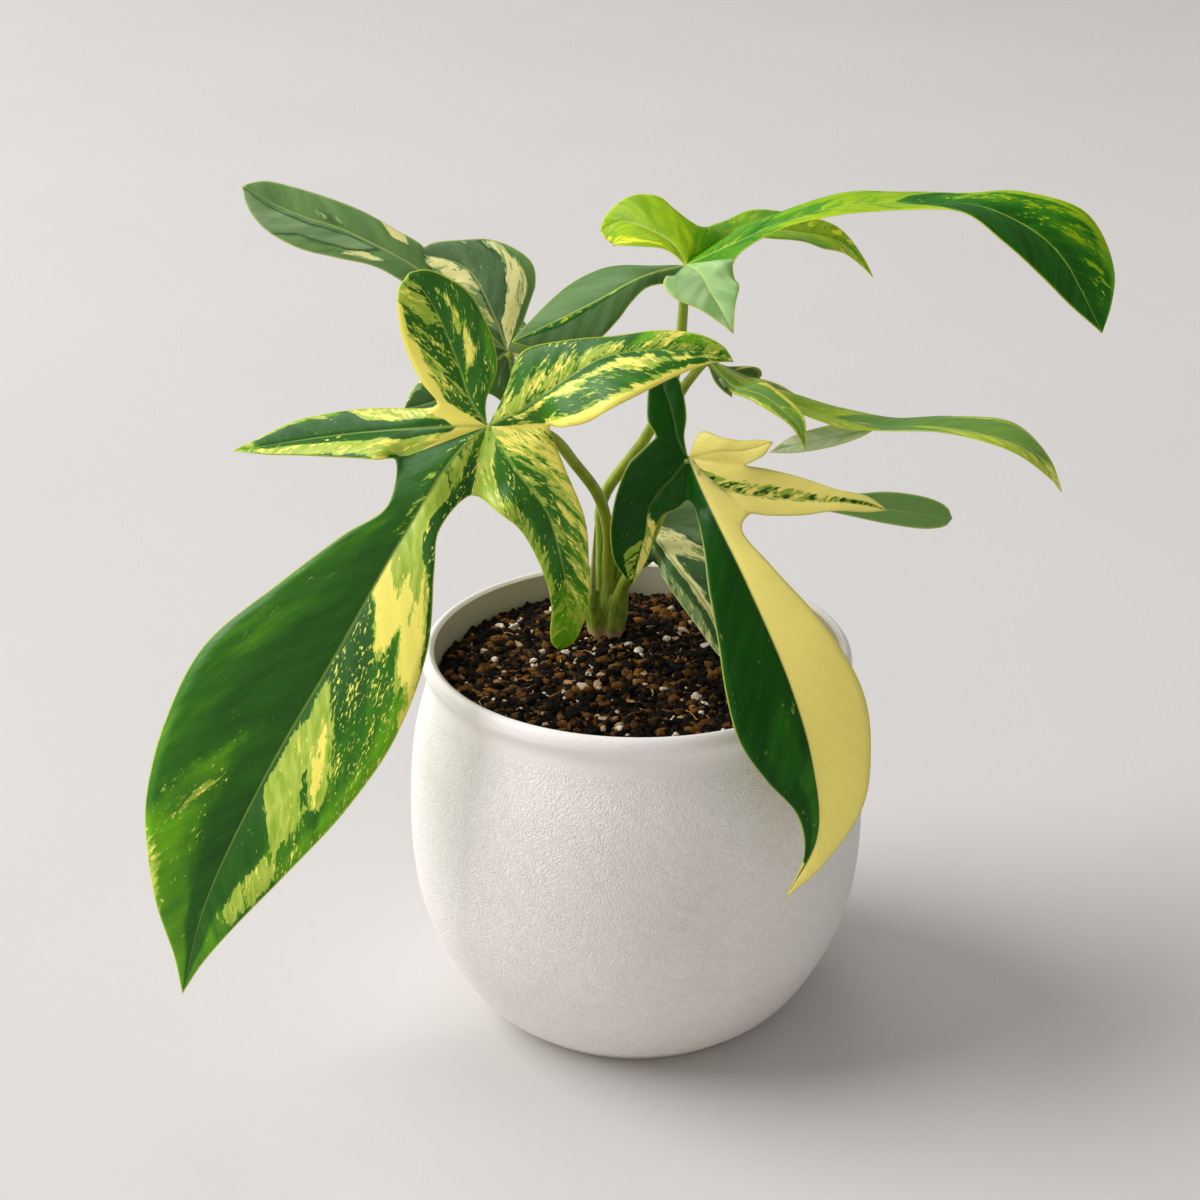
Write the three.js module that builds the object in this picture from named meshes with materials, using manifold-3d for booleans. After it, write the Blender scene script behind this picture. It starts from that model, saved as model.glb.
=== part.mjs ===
// A variegated climbing philodendron with six lobed leaves, in a round white pot of potting mix.
// Millimetres, +Z up. The origin is the centre of the pot's underside, and -Y is the front.
import * as THREE from 'three';
import { mergeVertices } from 'three/addons/utils/BufferGeometryUtils.js';
import Module from 'manifold-3d';

const wasm = await Module();
wasm.setup();

// Driving sizes
const potHeight = 129;
const potBellyRadius = 75;
const potFootRadius = 46;
const potWall = 4.2;
const potFloor = 7;
const rimRadius = 69.7;
const rimInnerRadius = 65.8;
const rimRoll = 8;
const soilLevel = 119;
const bladeThickness = 0.7;
const touchGap = 0.3;
const potSegments = 48;

// Heights and radii of the pot's outside, from the foot's rounded edge to the crease under the rim
const potOutside = [
  [49.5, 2.2],
  [56.2, 8],
  [63.8, 19.4],
  [71.9, 39],
  [potBellyRadius, 62],
  [73.2, 97],
  [68.6, 116],
  [67.9, potHeight - rimRoll],
];

const colours = {
  pot: 0xe9e6e0,
  soil: 0x2b2019,
  stem: 0x8f9a4b,
  stalk: 0x8fa34a,
};

const vector = ([x, y, z]) => new THREE.Vector3(x, y, z);
const smoothCurve = (points) => new THREE.CatmullRomCurve3(points, false, 'centripetal');

// Seeded random numbers from 0 to 1
let seed = 7;
function random() {
  seed = (seed * 16807) % 2147483647;
  return seed / 2147483647;
}

// Solids
function toSolid(geometry) {
  const bare = geometry.clone();
  for (const name of Object.keys(bare.attributes)) {
    if (name !== 'position') bare.deleteAttribute(name);
  }
  const merged = mergeVertices(bare, 1e-4);
  const triVerts = [];
  for (let i = 0; i < merged.index.count; i += 3) {
    const [a, b, c] = [0, 1, 2].map((k) => merged.index.getX(i + k));
    if (a !== b && b !== c && c !== a) triVerts.push(a, b, c);
  }
  const vertProperties = new Float32Array(merged.attributes.position.array);
  const mesh = new wasm.Mesh({ numProp: 3, vertProperties, triVerts: new Uint32Array(triVerts) });
  return new wasm.Manifold(mesh);
}

function toGeometry(solid) {
  const mesh = solid.getMesh();
  const geometry = new THREE.BufferGeometry();
  geometry.setAttribute('position', new THREE.BufferAttribute(mesh.vertProperties, 3));
  geometry.setIndex(new THREE.BufferAttribute(mesh.triVerts, 1));
  geometry.computeVertexNormals();
  return geometry;
}

// The largest of the bodies that a cut leaves
function largestBody(solid) {
  return solid.decompose().reduce((best, body) => (body.volume() > best.volume() ? body : best));
}

const group = new THREE.Group();
function addMesh(name, geometry, colour, roughness) {
  const material = new THREE.MeshStandardMaterial({ color: colour, roughness, metalness: 0 });
  const mesh = new THREE.Mesh(geometry, material);
  mesh.name = name;
  group.add(mesh);
}

// Pot: a turned wall with a rolled rim and a flat underside
function potInnerRadius(z) {
  const heights = [potFloor, 12, 20, 39, 62, 97, potHeight - rimRoll, potHeight];
  const radii = [50, 56, 62, 71.9 - potWall, potBellyRadius - potWall, 73.2 - potWall, 65.4, rimInnerRadius];
  let i = 0;
  while (i < heights.length - 2 && z > heights[i + 1]) i += 1;
  const t = THREE.MathUtils.clamp((z - heights[i]) / (heights[i + 1] - heights[i]), 0, 1);
  return THREE.MathUtils.lerp(radii[i], radii[i + 1], t);
}

function buildPot() {
  const outside = new THREE.SplineCurve(potOutside.map(([r, z]) => new THREE.Vector2(r, z))).getPoints(12);
  const roll = new THREE.SplineCurve([
    new THREE.Vector2(68.6, potHeight - 6.6),
    new THREE.Vector2(rimRadius, potHeight - 4.2),
    new THREE.Vector2(rimRadius - 0.6, potHeight - 1.4),
    new THREE.Vector2(rimRadius - 2.2, potHeight),
    new THREE.Vector2(rimInnerRadius, potHeight - 0.9),
  ]).getPoints(6);
  const insideHeights = [125, 116, 97, 80, 62, 39, 20, 12, potFloor];
  const inside = insideHeights.map((z) => new THREE.Vector2(potInnerRadius(z), z));
  const foot = [new THREE.Vector2(0, 0), new THREE.Vector2(potFootRadius, 0)];
  const profile = [...foot, ...outside, ...roll, ...inside, new THREE.Vector2(0, potFloor)];
  const lathe = new THREE.LatheGeometry(profile, potSegments);
  lathe.rotateX(Math.PI / 2);
  addMesh('pot', toGeometry(toSolid(lathe)), colours.pot, 0.6);
}

// A round tube that tapers along a smooth path, closed at both ends. Growth makes it stouter and
// longer by a gap.
function taperedTube(path, radii, sides, steps, growth = 0) {
  const curve = smoothCurve(path.map(vector));
  const frames = curve.computeFrenetFrames(steps);
  const positions = [];
  const index = [];
  for (let i = 0; i <= steps; i += 1) {
    const centre = curve.getPointAt(i / steps);
    if (i === 0) centre.addScaledVector(frames.tangents[i], -growth);
    if (i === steps) centre.addScaledVector(frames.tangents[i], growth);
    const place = (i / steps) * (radii.length - 1);
    const k = Math.min(Math.floor(place), radii.length - 2);
    const radius = THREE.MathUtils.lerp(radii[k], radii[k + 1], place - k) + growth;
    for (let j = 0; j < sides; j += 1) {
      const angle = (j / sides) * 2 * Math.PI;
      const point = centre
        .clone()
        .addScaledVector(frames.normals[i], radius * Math.cos(angle))
        .addScaledVector(frames.binormals[i], radius * Math.sin(angle));
      positions.push(...point);
    }
  }
  for (let i = 0; i < steps; i += 1) {
    for (let j = 0; j < sides; j += 1) {
      const a = i * sides + j;
      const b = i * sides + ((j + 1) % sides);
      index.push(a, b, a + sides, b, b + sides, a + sides);
    }
  }
  const last = steps * sides;
  for (let j = 1; j < sides - 1; j += 1) {
    index.push(0, j + 1, j);
    index.push(last, last + j, last + j + 1);
  }
  const geometry = new THREE.BufferGeometry();
  geometry.setAttribute('position', new THREE.Float32BufferAttribute(positions, 3));
  geometry.setIndex(index);
  return toSolid(geometry);
}

// Crown: the short stem that the leaf stalks grow from. Its foot stands in the potting mix.
const crownTop = 133;
const crownPath = [
  [-10, 29, 92],
  [-10, 29, 110],
  [-9.6, 28.7, 120],
  [-9.4, 28.5, 128],
  [-9.4, 28.5, crownTop],
];
const crownRadii = [3.5, 5, 5.6, 7.2, 7.7];
const crownSides = 14;
const crownSteps = 12;

function buildCrown() {
  const crown = taperedTube(crownPath, crownRadii, crownSides, crownSteps);
  addMesh('stem', toGeometry(crown), colours.stem, 0.6);
}

const grownCrown = taperedTube(crownPath, crownRadii, crownSides, crownSteps, touchGap);

// Potting mix: fills the pot, with a crumbled top and a plain hole for the crown
const soilRings = 10;
const soilSegments = 40;
const crumbCount = 50;

function soilHeight(x, y) {
  const swell = 1.2 * Math.sin(x / 17 + 1) * Math.cos(y / 14);
  const crumbsAlongX = Math.sin(x * 0.9 + 2 * Math.sin(y * 0.4));
  const crumbsAlongY = Math.sin(y * 0.8 + 1.7 * Math.sin(x * 0.5));
  const edgeDrop = 1.5 * (Math.hypot(x, y) / rimInnerRadius) ** 4;
  return soilLevel + swell + 0.7 * crumbsAlongX * crumbsAlongY - edgeDrop;
}

function buildSoil() {
  const positions = [0, 0, soilHeight(0, 0)];
  const index = [];
  const topRadius = potInnerRadius(soilLevel) - touchGap;
  const ring = (radius, height) => {
    const first = positions.length / 3;
    for (let j = 0; j < soilSegments; j += 1) {
      const angle = (j / soilSegments) * 2 * Math.PI;
      const x = radius * Math.cos(angle);
      const y = radius * Math.sin(angle);
      positions.push(x, y, height(x, y));
    }
    return first;
  };
  const starts = [];
  for (let i = 1; i <= soilRings; i += 1) starts.push(ring((topRadius * i) / soilRings, soilHeight));
  for (const z of [97, 62, 39, 20, 12, potFloor + touchGap]) {
    const slack = 2 * touchGap;
    starts.push(ring(potInnerRadius(z) - slack, () => z));
  }
  for (let j = 0; j < soilSegments; j += 1) {
    index.push(0, starts[0] + j, starts[0] + ((j + 1) % soilSegments));
  }
  for (let i = 0; i < starts.length - 1; i += 1) {
    for (let j = 0; j < soilSegments; j += 1) {
      const k = (j + 1) % soilSegments;
      index.push(starts[i] + j, starts[i + 1] + j, starts[i] + k);
      index.push(starts[i] + k, starts[i + 1] + j, starts[i + 1] + k);
    }
  }
  const base = starts[starts.length - 1];
  for (let j = 1; j < soilSegments - 1; j += 1) index.push(base, base + j + 1, base + j);
  const geometry = new THREE.BufferGeometry();
  geometry.setAttribute('position', new THREE.Float32BufferAttribute(positions, 3));
  geometry.setIndex(index);
  let soil = toSolid(geometry);

  // Bark and mineral crumbs, sunk to half their depth
  for (let i = 0; i < crumbCount; i += 1) {
    const radius = (topRadius - 5) * Math.sqrt(random());
    const angle = random() * 2 * Math.PI;
    const x = radius * Math.cos(angle);
    const y = radius * Math.sin(angle);
    const crumb = new THREE.OctahedronGeometry(1.8 + 1.2 * random(), 0);
    crumb.scale(1 + 0.6 * random(), 1, 0.8);
    crumb.rotateZ(random() * Math.PI);
    crumb.translate(x, y, soilHeight(x, y) + 0.2);
    soil = soil.add(toSolid(crumb));
  }
  addMesh('soil', toGeometry(largestBody(soil.subtract(grownCrown))), colours.soil, 0.95);
}

// Leaves. Each blade is one sheet with five lobes or fewer, listed clockwise as seen from its upper
// side, from one side of the open notch at the stalk to the other. A lobe has
//   rib: points on its midrib, from the blade's joint with the stalk to the lobe's tip
//   up: the direction that its upper side faces, at the joint, along the rib and at the tip
//   fold: how far, in degrees, its two halves are folded up about the rib
//   left, right: [place along the rib from 0 to 1, half-width] pairs of its margin
// sinuses holds the deepest point of the cut between each lobe and the next. A flap is a lobe that
// grows from the margin, with its own joint there.
const leaves = [
  {
    name: 'front_left',
    colour: 0x5f9a3c,
    joint: [-46, -20, 210],
    lobes: [
      {
        rib: [
          [-35, -24, 217], [-24, -28, 226], [-11, -31, 235],
          [5, -33, 238], [19, -33, 237], [27, -32, 234],
        ],
        up: [[0, -0.75, 0.65], [0.1, -0.6, 0.8], [0.1, -0.75, 0.65]],
        fold: 8,
        neck: 0.22,
        left: [[0.12, 8], [0.25, 15], [0.42, 11], [0.58, 6], [0.74, 6], [0.88, 5]],
        right: [[0.3, 14], [0.4, 18], [0.52, 20], [0.65, 17], [0.8, 9], [0.92, 3]],
      },
      {
        rib: [[-36, -30, 198], [-28, -32, 187], [-24, -31, 172], [-22, -27, 155], [-25, -23, 137]],
        up: [[0.1, -0.85, 0.5], [0.05, -0.95, 0.25], [0.2, -0.95, 0.1]],
        fold: 6,
        neck: 0.2,
        left: [[0.3, 12], [0.45, 10], [0.62, 8], [0.78, 6], [0.92, 3]],
        right: [[0.28, 12], [0.38, 10], [0.5, 8], [0.65, 6], [0.8, 5], [0.92, 2]],
      },
      {
        rib: [
          [-54, -24, 204], [-71, -33, 180], [-92, -43, 145],
          [-114, -53, 109], [-134, -63, 69], [-143, -66, 38],
        ],
        up: [[-0.1, -0.8, 0.55], [-0.15, -0.88, 0.38], [-0.25, -0.92, 0.2], [-0.1, -0.95, 0.2]],
        fold: 9,
        neck: 0.12,
        left: [[0.17, 9], [0.22, 14], [0.33, 25], [0.46, 30], [0.6, 28], [0.74, 20], [0.86, 11], [0.94, 4]],
        right: [[0.18, 9], [0.25, 16], [0.36, 26], [0.5, 36], [0.62, 35], [0.74, 29], [0.86, 15], [0.94, 5]],
      },
      {
        rib: [[-56, -20, 210], [-85, -12, 205], [-101, -9, 202], [-115, -7, 199], [-126, -6, 197]],
        up: [[0, -0.75, 0.65], [-0.1, -0.55, 0.85], [-0.1, -0.6, 0.8]],
        fold: 10,
        neck: 0.26,
        left: [[0.38, 12], [0.55, 10], [0.7, 7], [0.85, 4]],
        right: [[0.34, 7], [0.45, 8], [0.6, 8], [0.75, 7], [0.9, 3]],
      },
      {
        rib: [[-51, -17, 217], [-54, -13, 225], [-57.5, -10, 234], [-62, -8, 244], [-69, -7, 254]],
        up: [[0, -0.85, 0.5], [-0.15, -0.9, 0.4], [-0.1, -0.9, 0.4]],
        fold: 10,
        neck: 0.24,
        left: [[0.35, 12], [0.5, 13], [0.65, 13], [0.8, 11.5], [0.93, 8]],
        right: [[0.12, 4], [0.3, 11], [0.45, 13], [0.6, 13], [0.75, 11.5], [0.92, 6.5]],
      },
    ],
    sinuses: [[-27, -25, 211], [-51, -26, 190], [-74, -20, 199], [-61, -17, 216]],
    stalk: [
      [-9.5, 28.3, 131], [-9.3, 28, 145], [-9, 25, 155], [-12, 20, 171],
      [-20, 10, 187], [-28, 0, 200], [-46, -20, 210],
    ],
  },
  {
    name: 'back_left',
    colour: 0x55793f,
    joint: [-41, 14, 223],
    lobes: [
      {
        rib: [[-39, 11, 212], [-35, 8, 200]],
        up: [[0, -0.8, 0.6], [0.1, -0.9, 0.4]],
        fold: 6,
        neck: 0.4,
        left: [[0.2, 3], [0.45, 6], [0.7, 6], [0.88, 3]],
        right: [[0.6, 5], [0.8, 4]],
      },
      {
        rib: [[-53, 8, 215], [-63, 4, 210], [-73, 2, 208]],
        up: [[-0.2, -0.7, 0.7], [-0.2, -0.8, 0.5]],
        fold: 8,
        neck: 0.3,
        left: [[0.5, 7], [0.7, 7], [0.88, 4]],
        right: [[0.45, 8], [0.65, 9], [0.8, 8], [0.92, 5]],
      },
      {
        rib: [
          [-54, 17, 236], [-65, 20, 245], [-75, 22, 251], [-93, 26, 259],
          [-104, 28, 262], [-115, 31, 266], [-124, 33, 271],
        ],
        up: [[0, -0.7, 0.7], [0.1, -0.75, 0.65], [0.1, -0.8, 0.6]],
        fold: 6,
        neck: 0.3,
        left: [[0.36, 7], [0.5, 7], [0.62, 10], [0.75, 11], [0.87, 9], [0.95, 5]],
        right: [[0.4, 7], [0.5, 7.5], [0.62, 8], [0.75, 8.5], [0.87, 7.5], [0.95, 5]],
      },
      {
        rib: [[-45, 19, 232], [-49, 23, 240], [-53, 27, 245], [-60, 30, 248], [-71, 33, 249]],
        up: [[0.1, -0.8, 0.6], [0.1, -0.85, 0.5]],
        fold: 6,
        neck: 0.28,
        left: [[0.55, 7], [0.7, 7], [0.85, 4]],
        right: [[0.3, 15], [0.45, 18], [0.6, 13], [0.75, 7], [0.9, 4]],
      },
      {
        rib: [[-31, 17, 220], [-18, 19, 218]],
        up: [[0, -0.7, 0.7], [0.1, -0.8, 0.5]],
        fold: 8,
        neck: 0.35,
        left: [[0.5, 6], [0.75, 5], [0.9, 3]],
        right: [[0.15, 2], [0.4, 5], [0.7, 5], [0.88, 3]],
      },
    ],
    sinuses: [[-47, 8, 211], [-62, 15, 234], [-67, 24, 249], [-36, 20, 231]],
    stalk: [[-15, 30, 131], [-18, 29, 145], [-24, 26, 168], [-31, 22, 191], [-37, 17, 211], [-41, 14, 223]],
  },
  {
    name: 'top_right',
    colour: 0x7fae3c,
    joint: [15, 24, 248],
    lobes: [
      {
        rib: [[11, 30, 253], [4, 36, 256], [-5, 43, 257], [-12, 47, 253]],
        up: [[0.1, -0.3, 0.95], [0, -0.6, 0.8], [-0.1, -0.8, 0.5]],
        fold: 6,
        neck: 0.3,
        left: [[0.2, 4], [0.42, 9], [0.65, 11], [0.85, 8], [0.95, 4]],
        right: [[0.45, 11], [0.6, 12], [0.75, 9], [0.9, 4]],
      },
      {
        rib: [[35, 50, 252], [55, 72, 246], [71, 84, 239], [82, 90, 226]],
        up: [[0, 0.1, 1], [0, -0.2, 0.95], [0.2, -0.35, 0.9], [0.6, -0.6, 0.5]],
        fold: 6,
        neck: 0.2,
        left: [[0.3, 9], [0.48, 12], [0.64, 10], [0.8, 6], [0.92, 2]],
        right: [[0.3, 9], [0.48, 12], [0.64, 10], [0.8, 6], [0.92, 2]],
      },
      {
        rib: [
          [30, 20, 256], [46, 16, 264], [67, 12, 270], [86, 8, 271],
          [103, 4, 271], [124, 0, 260], [141, -4, 234],
        ],
        up: [
          [0, -0.2, 0.97], [-0.1, -0.1, 1], [-0.1, -0.1, 1],
          [0, -0.05, 1], [0.3, -0.75, 0.6], [0.4, -0.8, 0.4],
        ],
        fold: 6,
        neck: 0.13,
        left: [[0.2, 9], [0.35, 10], [0.5, 9], [0.6, 9], [0.7, 13], [0.8, 17], [0.9, 14]],
        right: [[0.22, 8], [0.35, 9], [0.48, 9], [0.6, 12], [0.7, 14], [0.82, 11], [0.92, 6]],
      },
      {
        rib: [[19, 14, 248], [21, 3, 246], [24, -6, 243], [28, -13, 237]],
        up: [[0, -0.3, 0.95], [0.1, -0.6, 0.8], [0.1, -0.9, 0.4]],
        fold: 8,
        neck: 0.3,
        left: [[0.42, 9], [0.6, 9], [0.82, 4]],
        right: [[0.38, 12], [0.5, 14], [0.62, 12], [0.75, 6], [0.9, 2]],
      },
      {
        rib: [[1, 10, 248], [-15, 4, 241], [-29, 0, 235], [-39, -3, 231]],
        up: [[-0.1, -0.5, 0.85], [-0.15, -0.55, 0.8]],
        fold: -18,
        neck: 0.22,
        left: [[0.32, 4], [0.42, 6], [0.52, 9], [0.68, 12], [0.86, 8]],
        right: [[0.15, 5], [0.28, 10], [0.42, 14], [0.58, 16], [0.72, 13], [0.88, 6]],
      },
    ],
    sinuses: [[19, 38, 257], [31, 42, 254], [29, 8, 254], [9, 14, 245]],
    stalk: [[-11, 34.2, 131], [-11.5, 34, 150], [-11, 33, 166], [3.4, 29, 190], [12, 27, 211], [15, 24, 248]],
  },
  {
    name: 'front_right',
    colour: 0xc9b95e,
    joint: [15, -15, 198],
    lobes: [
      {
        rib: [[23, -20, 202], [32, -22, 203], [40, -23, 206]],
        up: [[0, -0.75, 0.65], [0.1, -0.8, 0.6]],
        fold: 6,
        neck: 0.62,
        left: [[0.2, 7], [0.45, 4], [0.7, 3], [0.88, 2]],
        right: [[0.75, 4], [0.88, 3]],
      },
      {
        rib: [[20, -22, 193], [32, -28, 191], [47, -30, 190], [63, -30, 189], [75, -28, 186]],
        up: [[0, -0.8, 0.6], [0.1, -0.75, 0.65], [0.1, -0.8, 0.6]],
        fold: 6,
        neck: 0.33,
        left: [[0.42, 9], [0.6, 7], [0.75, 4], [0.9, 3]],
        right: [[0.45, 6], [0.6, 5], [0.75, 3], [0.9, 2]],
      },
      {
        rib: [[19, -26, 191], [32, -50, 170], [44, -64, 145], [51, -70, 122], [53, -74, 99], [44, -76, 79]],
        up: [[0.05, -0.85, 0.5], [0.25, -0.9, 0.35], [0.3, -0.95, 0.1], [0.1, -1, 0.1]],
        fold: 7,
        neck: 0.12,
        left: [[0.2, 6], [0.3, 9], [0.4, 14], [0.5, 18], [0.6, 20], [0.7, 18], [0.8, 13], [0.9, 5]],
        right: [[0.2, 7], [0.3, 12], [0.4, 16], [0.5, 20], [0.6, 21], [0.7, 16], [0.8, 7], [0.9, 2]],
      },
      {
        rib: [[10, -17, 192], [6, -18, 188], [3, -19, 183], [2, -19, 175], [0, -18, 166], [-2, -16, 156]],
        up: [[-0.1, -0.85, 0.5], [-0.2, -0.95, 0.25], [-0.2, -0.95, 0.2]],
        fold: 8,
        neck: 0.2,
        left: [[0.3, 8], [0.42, 5], [0.55, 3], [0.7, 3], [0.85, 2]],
        right: [[0.26, 13], [0.4, 11], [0.55, 11], [0.7, 10], [0.85, 7]],
      },
      {
        rib: [[12, -13, 203], [10, -8, 211], [7, -2, 219], [7, 2, 223]],
        up: [[-0.05, -0.85, 0.5], [-0.1, -0.9, 0.4]],
        fold: 6,
        neck: 0.28,
        left: [[0.42, 8], [0.6, 7], [0.8, 4]],
        right: [[0.2, 2], [0.4, 4], [0.6, 5], [0.8, 5]],
      },
    ],
    sinuses: [[32, -24, 199], [33, -34, 187], [15, -20, 186], [5, -13, 204]],
    stalk: [[-6, 24.5, 131], [-5, 23, 137], [3, 12, 158], [9, 0, 178], [15, -15, 198]],
  },
  {
    name: 'middle',
    colour: 0x8a9a5a,
    joint: [1, 20, 164],
    lobes: [
      {
        rib: [[4, 19, 172], [9, 18, 181]],
        up: [[0, -0.9, 0.4], [0, -0.9, 0.4]],
        fold: 6,
        neck: 0.35,
        left: [[0.2, 1.5], [0.4, 4], [0.7, 4], [0.88, 2]],
        right: [[0.55, 5], [0.8, 3]],
      },
      {
        rib: [[17, 18, 173], [35, 15, 176], [52, 12, 175], [67, 11, 172], [82, 10, 171], [101, 8, 169]],
        up: [[0, -0.8, 0.6], [0, -0.7, 0.7], [0.1, -0.8, 0.6]],
        fold: 6,
        neck: 0.16,
        left: [[0.25, 3], [0.45, 3], [0.65, 4], [0.8, 6], [0.92, 5]],
        right: [[0.26, 4], [0.45, 3], [0.65, 3], [0.8, 5], [0.92, 5]],
      },
      {
        rib: [[6, 14, 160], [12, 4, 155], [21, -5, 146], [27, -12, 135], [33, -22, 126]],
        up: [[0.1, -0.85, 0.5], [0.1, -0.8, 0.6]],
        fold: 6,
        neck: 0.22,
        left: [[0.35, 10], [0.5, 11], [0.7, 8], [0.88, 4]],
        right: [[0.35, 6], [0.5, 7], [0.65, 6], [0.8, 4]],
      },
      {
        rib: [[0, 24, 155], [-1, 25, 149], [-3, 24, 144]],
        up: [[-0.1, -0.9, 0.4], [-0.1, -0.9, 0.4]],
        fold: 6,
        neck: 0.5,
        left: [[0.65, 8], [0.85, 5]],
        right: [[0.2, 2], [0.4, 5], [0.7, 4], [0.88, 3]],
      },
    ],
    sinuses: [[10, 19, 173], [17, 10, 161], [8, 14, 149]],
    stalk: [[-4.2, 29, 131], [-4, 30.5, 142], [-3, 30, 153], [-0.5, 26, 161], [1, 20, 164]],
  },
  {
    name: 'right',
    colour: 0x8fa84a,
    joint: [21, 6, 223],
    lobes: [
      {
        rib: [[31, 24, 213.5], [37, 40, 204]],
        up: [[0, 0.35, 0.93], [0.1, 0.4, 0.9]],
        fold: 6,
        neck: 0.3,
        left: [[0.2, 2], [0.4, 7], [0.65, 9], [0.85, 6]],
        right: [[0.5, 7], [0.7, 7], [0.88, 4]],
      },
      {
        rib: [[43, 28, 206.5], [55, 41, 195], [67, 50, 187]],
        up: [[0.05, 0.3, 0.95], [0.15, 0.3, 0.92]],
        fold: 2,
        neck: 0.28,
        left: [[0.42, 8], [0.6, 9], [0.78, 7], [0.92, 3]],
        right: [[0.42, 6], [0.6, 6], [0.78, 5], [0.92, 3]],
      },
      {
        rib: [
          [26, 4, 220], [35, 2, 215], [61, 2, 205], [75, 0, 203],
          [92, -4, 204], [119, -10, 200], [131, -12, 186],
        ],
        up: [
          [0, -0.3, 0.95], [0, 0.15, 0.97], [0, 0.2, 0.97],
          [0, 0.22, 0.97], [0.1, -0.05, 1], [0.5, -0.25, 0.8],
        ],
        fold: 6,
        neck: 0.12,
        left: [[0.2, 7], [0.35, 10], [0.5, 9], [0.65, 12], [0.8, 12], [0.92, 6]],
        right: [[0.2, 8], [0.3, 12], [0.4, 11], [0.5, 8], [0.65, 12], [0.8, 12], [0.92, 6]],
      },
      {
        rib: [[29, 1, 216], [37, -4, 215], [43, -9, 212], [48, -12, 208], [51, -14, 200]],
        up: [[0, -0.7, 0.7], [0.1, -0.9, 0.4]],
        fold: 6,
        neck: 0.26,
        left: [[0.42, 4], [0.6, 4], [0.8, 3]],
        right: [[0.42, 3], [0.6, 3], [0.8, 2]],
      },
      {
        rib: [[24, 4, 219], [27, 2.5, 215], [29, 1, 212]],
        up: [[0, -0.9, 0.4], [0.1, -0.9, 0.3]],
        fold: 6,
        neck: 0.4,
        left: [[0.6, 2], [0.8, 1.5]],
        right: [[0.25, 1.2], [0.5, 2], [0.8, 1.4]],
      },
    ],
    sinuses: [[30, 18, 215], [35, 13, 214], [33, 2, 215], [28, 2, 214]],
    flaps: [
      {
        joint: [75, 0, 203],
        lobes: [
          {
            rib: [[62, -6, 202], [51, -9, 201], [40, -10, 198]],
            up: [[0, -0.9, 0.3], [0, -0.9, 0.3]],
            fold: 4,
            neck: 0.2,
            left: [[0.2, 2], [0.5, 3.2], [0.8, 2.6]],
            right: [[0.2, 3], [0.5, 3.8], [0.8, 2.6]],
          },
        ],
      },
    ],
    stalk: [
      [-5.6, 34, 131], [-4.5, 36, 148], [0, 32, 168], [7, 22, 190],
      [13, 13, 209], [17, 8, 217], [21, 6, 223],
    ],
  },
];

const seamSteps = 3;
const lobeStep = 12;
const columns = 2;
const camber = 0.05;

// The rib's point at a place from 0 to 1, with the directions of its upper side and its right side
function ribFrame(lobe, place) {
  const point = lobe.curve.getPointAt(place);
  const along = lobe.curve.getTangentAt(place);
  const slot = place * (lobe.up.length - 1);
  const k = Math.min(Math.floor(slot), lobe.up.length - 2);
  const up = vector(lobe.up[k]).lerp(vector(lobe.up[k + 1]), slot - k);
  up.addScaledVector(along, -up.dot(along)).normalize();
  return { point, up, right: along.clone().cross(up) };
}

function marginPoint(lobe, side, [place, halfWidth]) {
  const { point, up, right } = ribFrame(lobe, place);
  const fold = THREE.MathUtils.degToRad(lobe.fold);
  return point
    .addScaledVector(right, side * halfWidth * Math.cos(fold))
    .addScaledVector(up, halfWidth * Math.sin(fold));
}

// A function that gives the boundary of one half of a lobe, from the joint along the seam to the
// sinus and then along the margin to the tip. The outer half of an end lobe has no seam.
function halfBoundary(leaf, number, side) {
  const lobe = leaf.lobes[number];
  const joint = vector(leaf.joint);
  const ownPairs = side < 0 ? lobe.left : lobe.right;
  const own = ownPairs.map((pair) => marginPoint(lobe, side, pair));
  const tip = lobe.curve.getPointAt(1);
  const places = [...ownPairs.map(([place]) => place), 1];
  const neighbour = leaf.lobes[number + side];
  if (!neighbour) {
    const curve = smoothCurve([joint, ...own, tip]);
    const knots = [0, ...places];
    return (place) => curve.getPoint(knotPlace(knots, place) / (knots.length - 1));
  }
  const sinus = vector(leaf.sinuses[side < 0 ? number - 1 : number]);
  const otherPairs = side < 0 ? neighbour.right : neighbour.left;
  const beyond = marginPoint(neighbour, -side, otherPairs[0]);
  const curve = smoothCurve([beyond, sinus, ...own, tip]);
  const knots = [lobe.neck, ...places];
  return (place) => {
    if (place <= lobe.neck) return joint.clone().lerp(sinus, place / lobe.neck);
    return curve.getPoint((1 + knotPlace(knots, place)) / knots.length);
  };
}

// The place of a value among rising knots, as a knot number with its fraction
function knotPlace(knots, value) {
  let i = 0;
  while (i < knots.length - 2 && value > knots[i + 1]) i += 1;
  return i + (value - knots[i]) / (knots[i + 1] - knots[i]);
}

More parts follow.
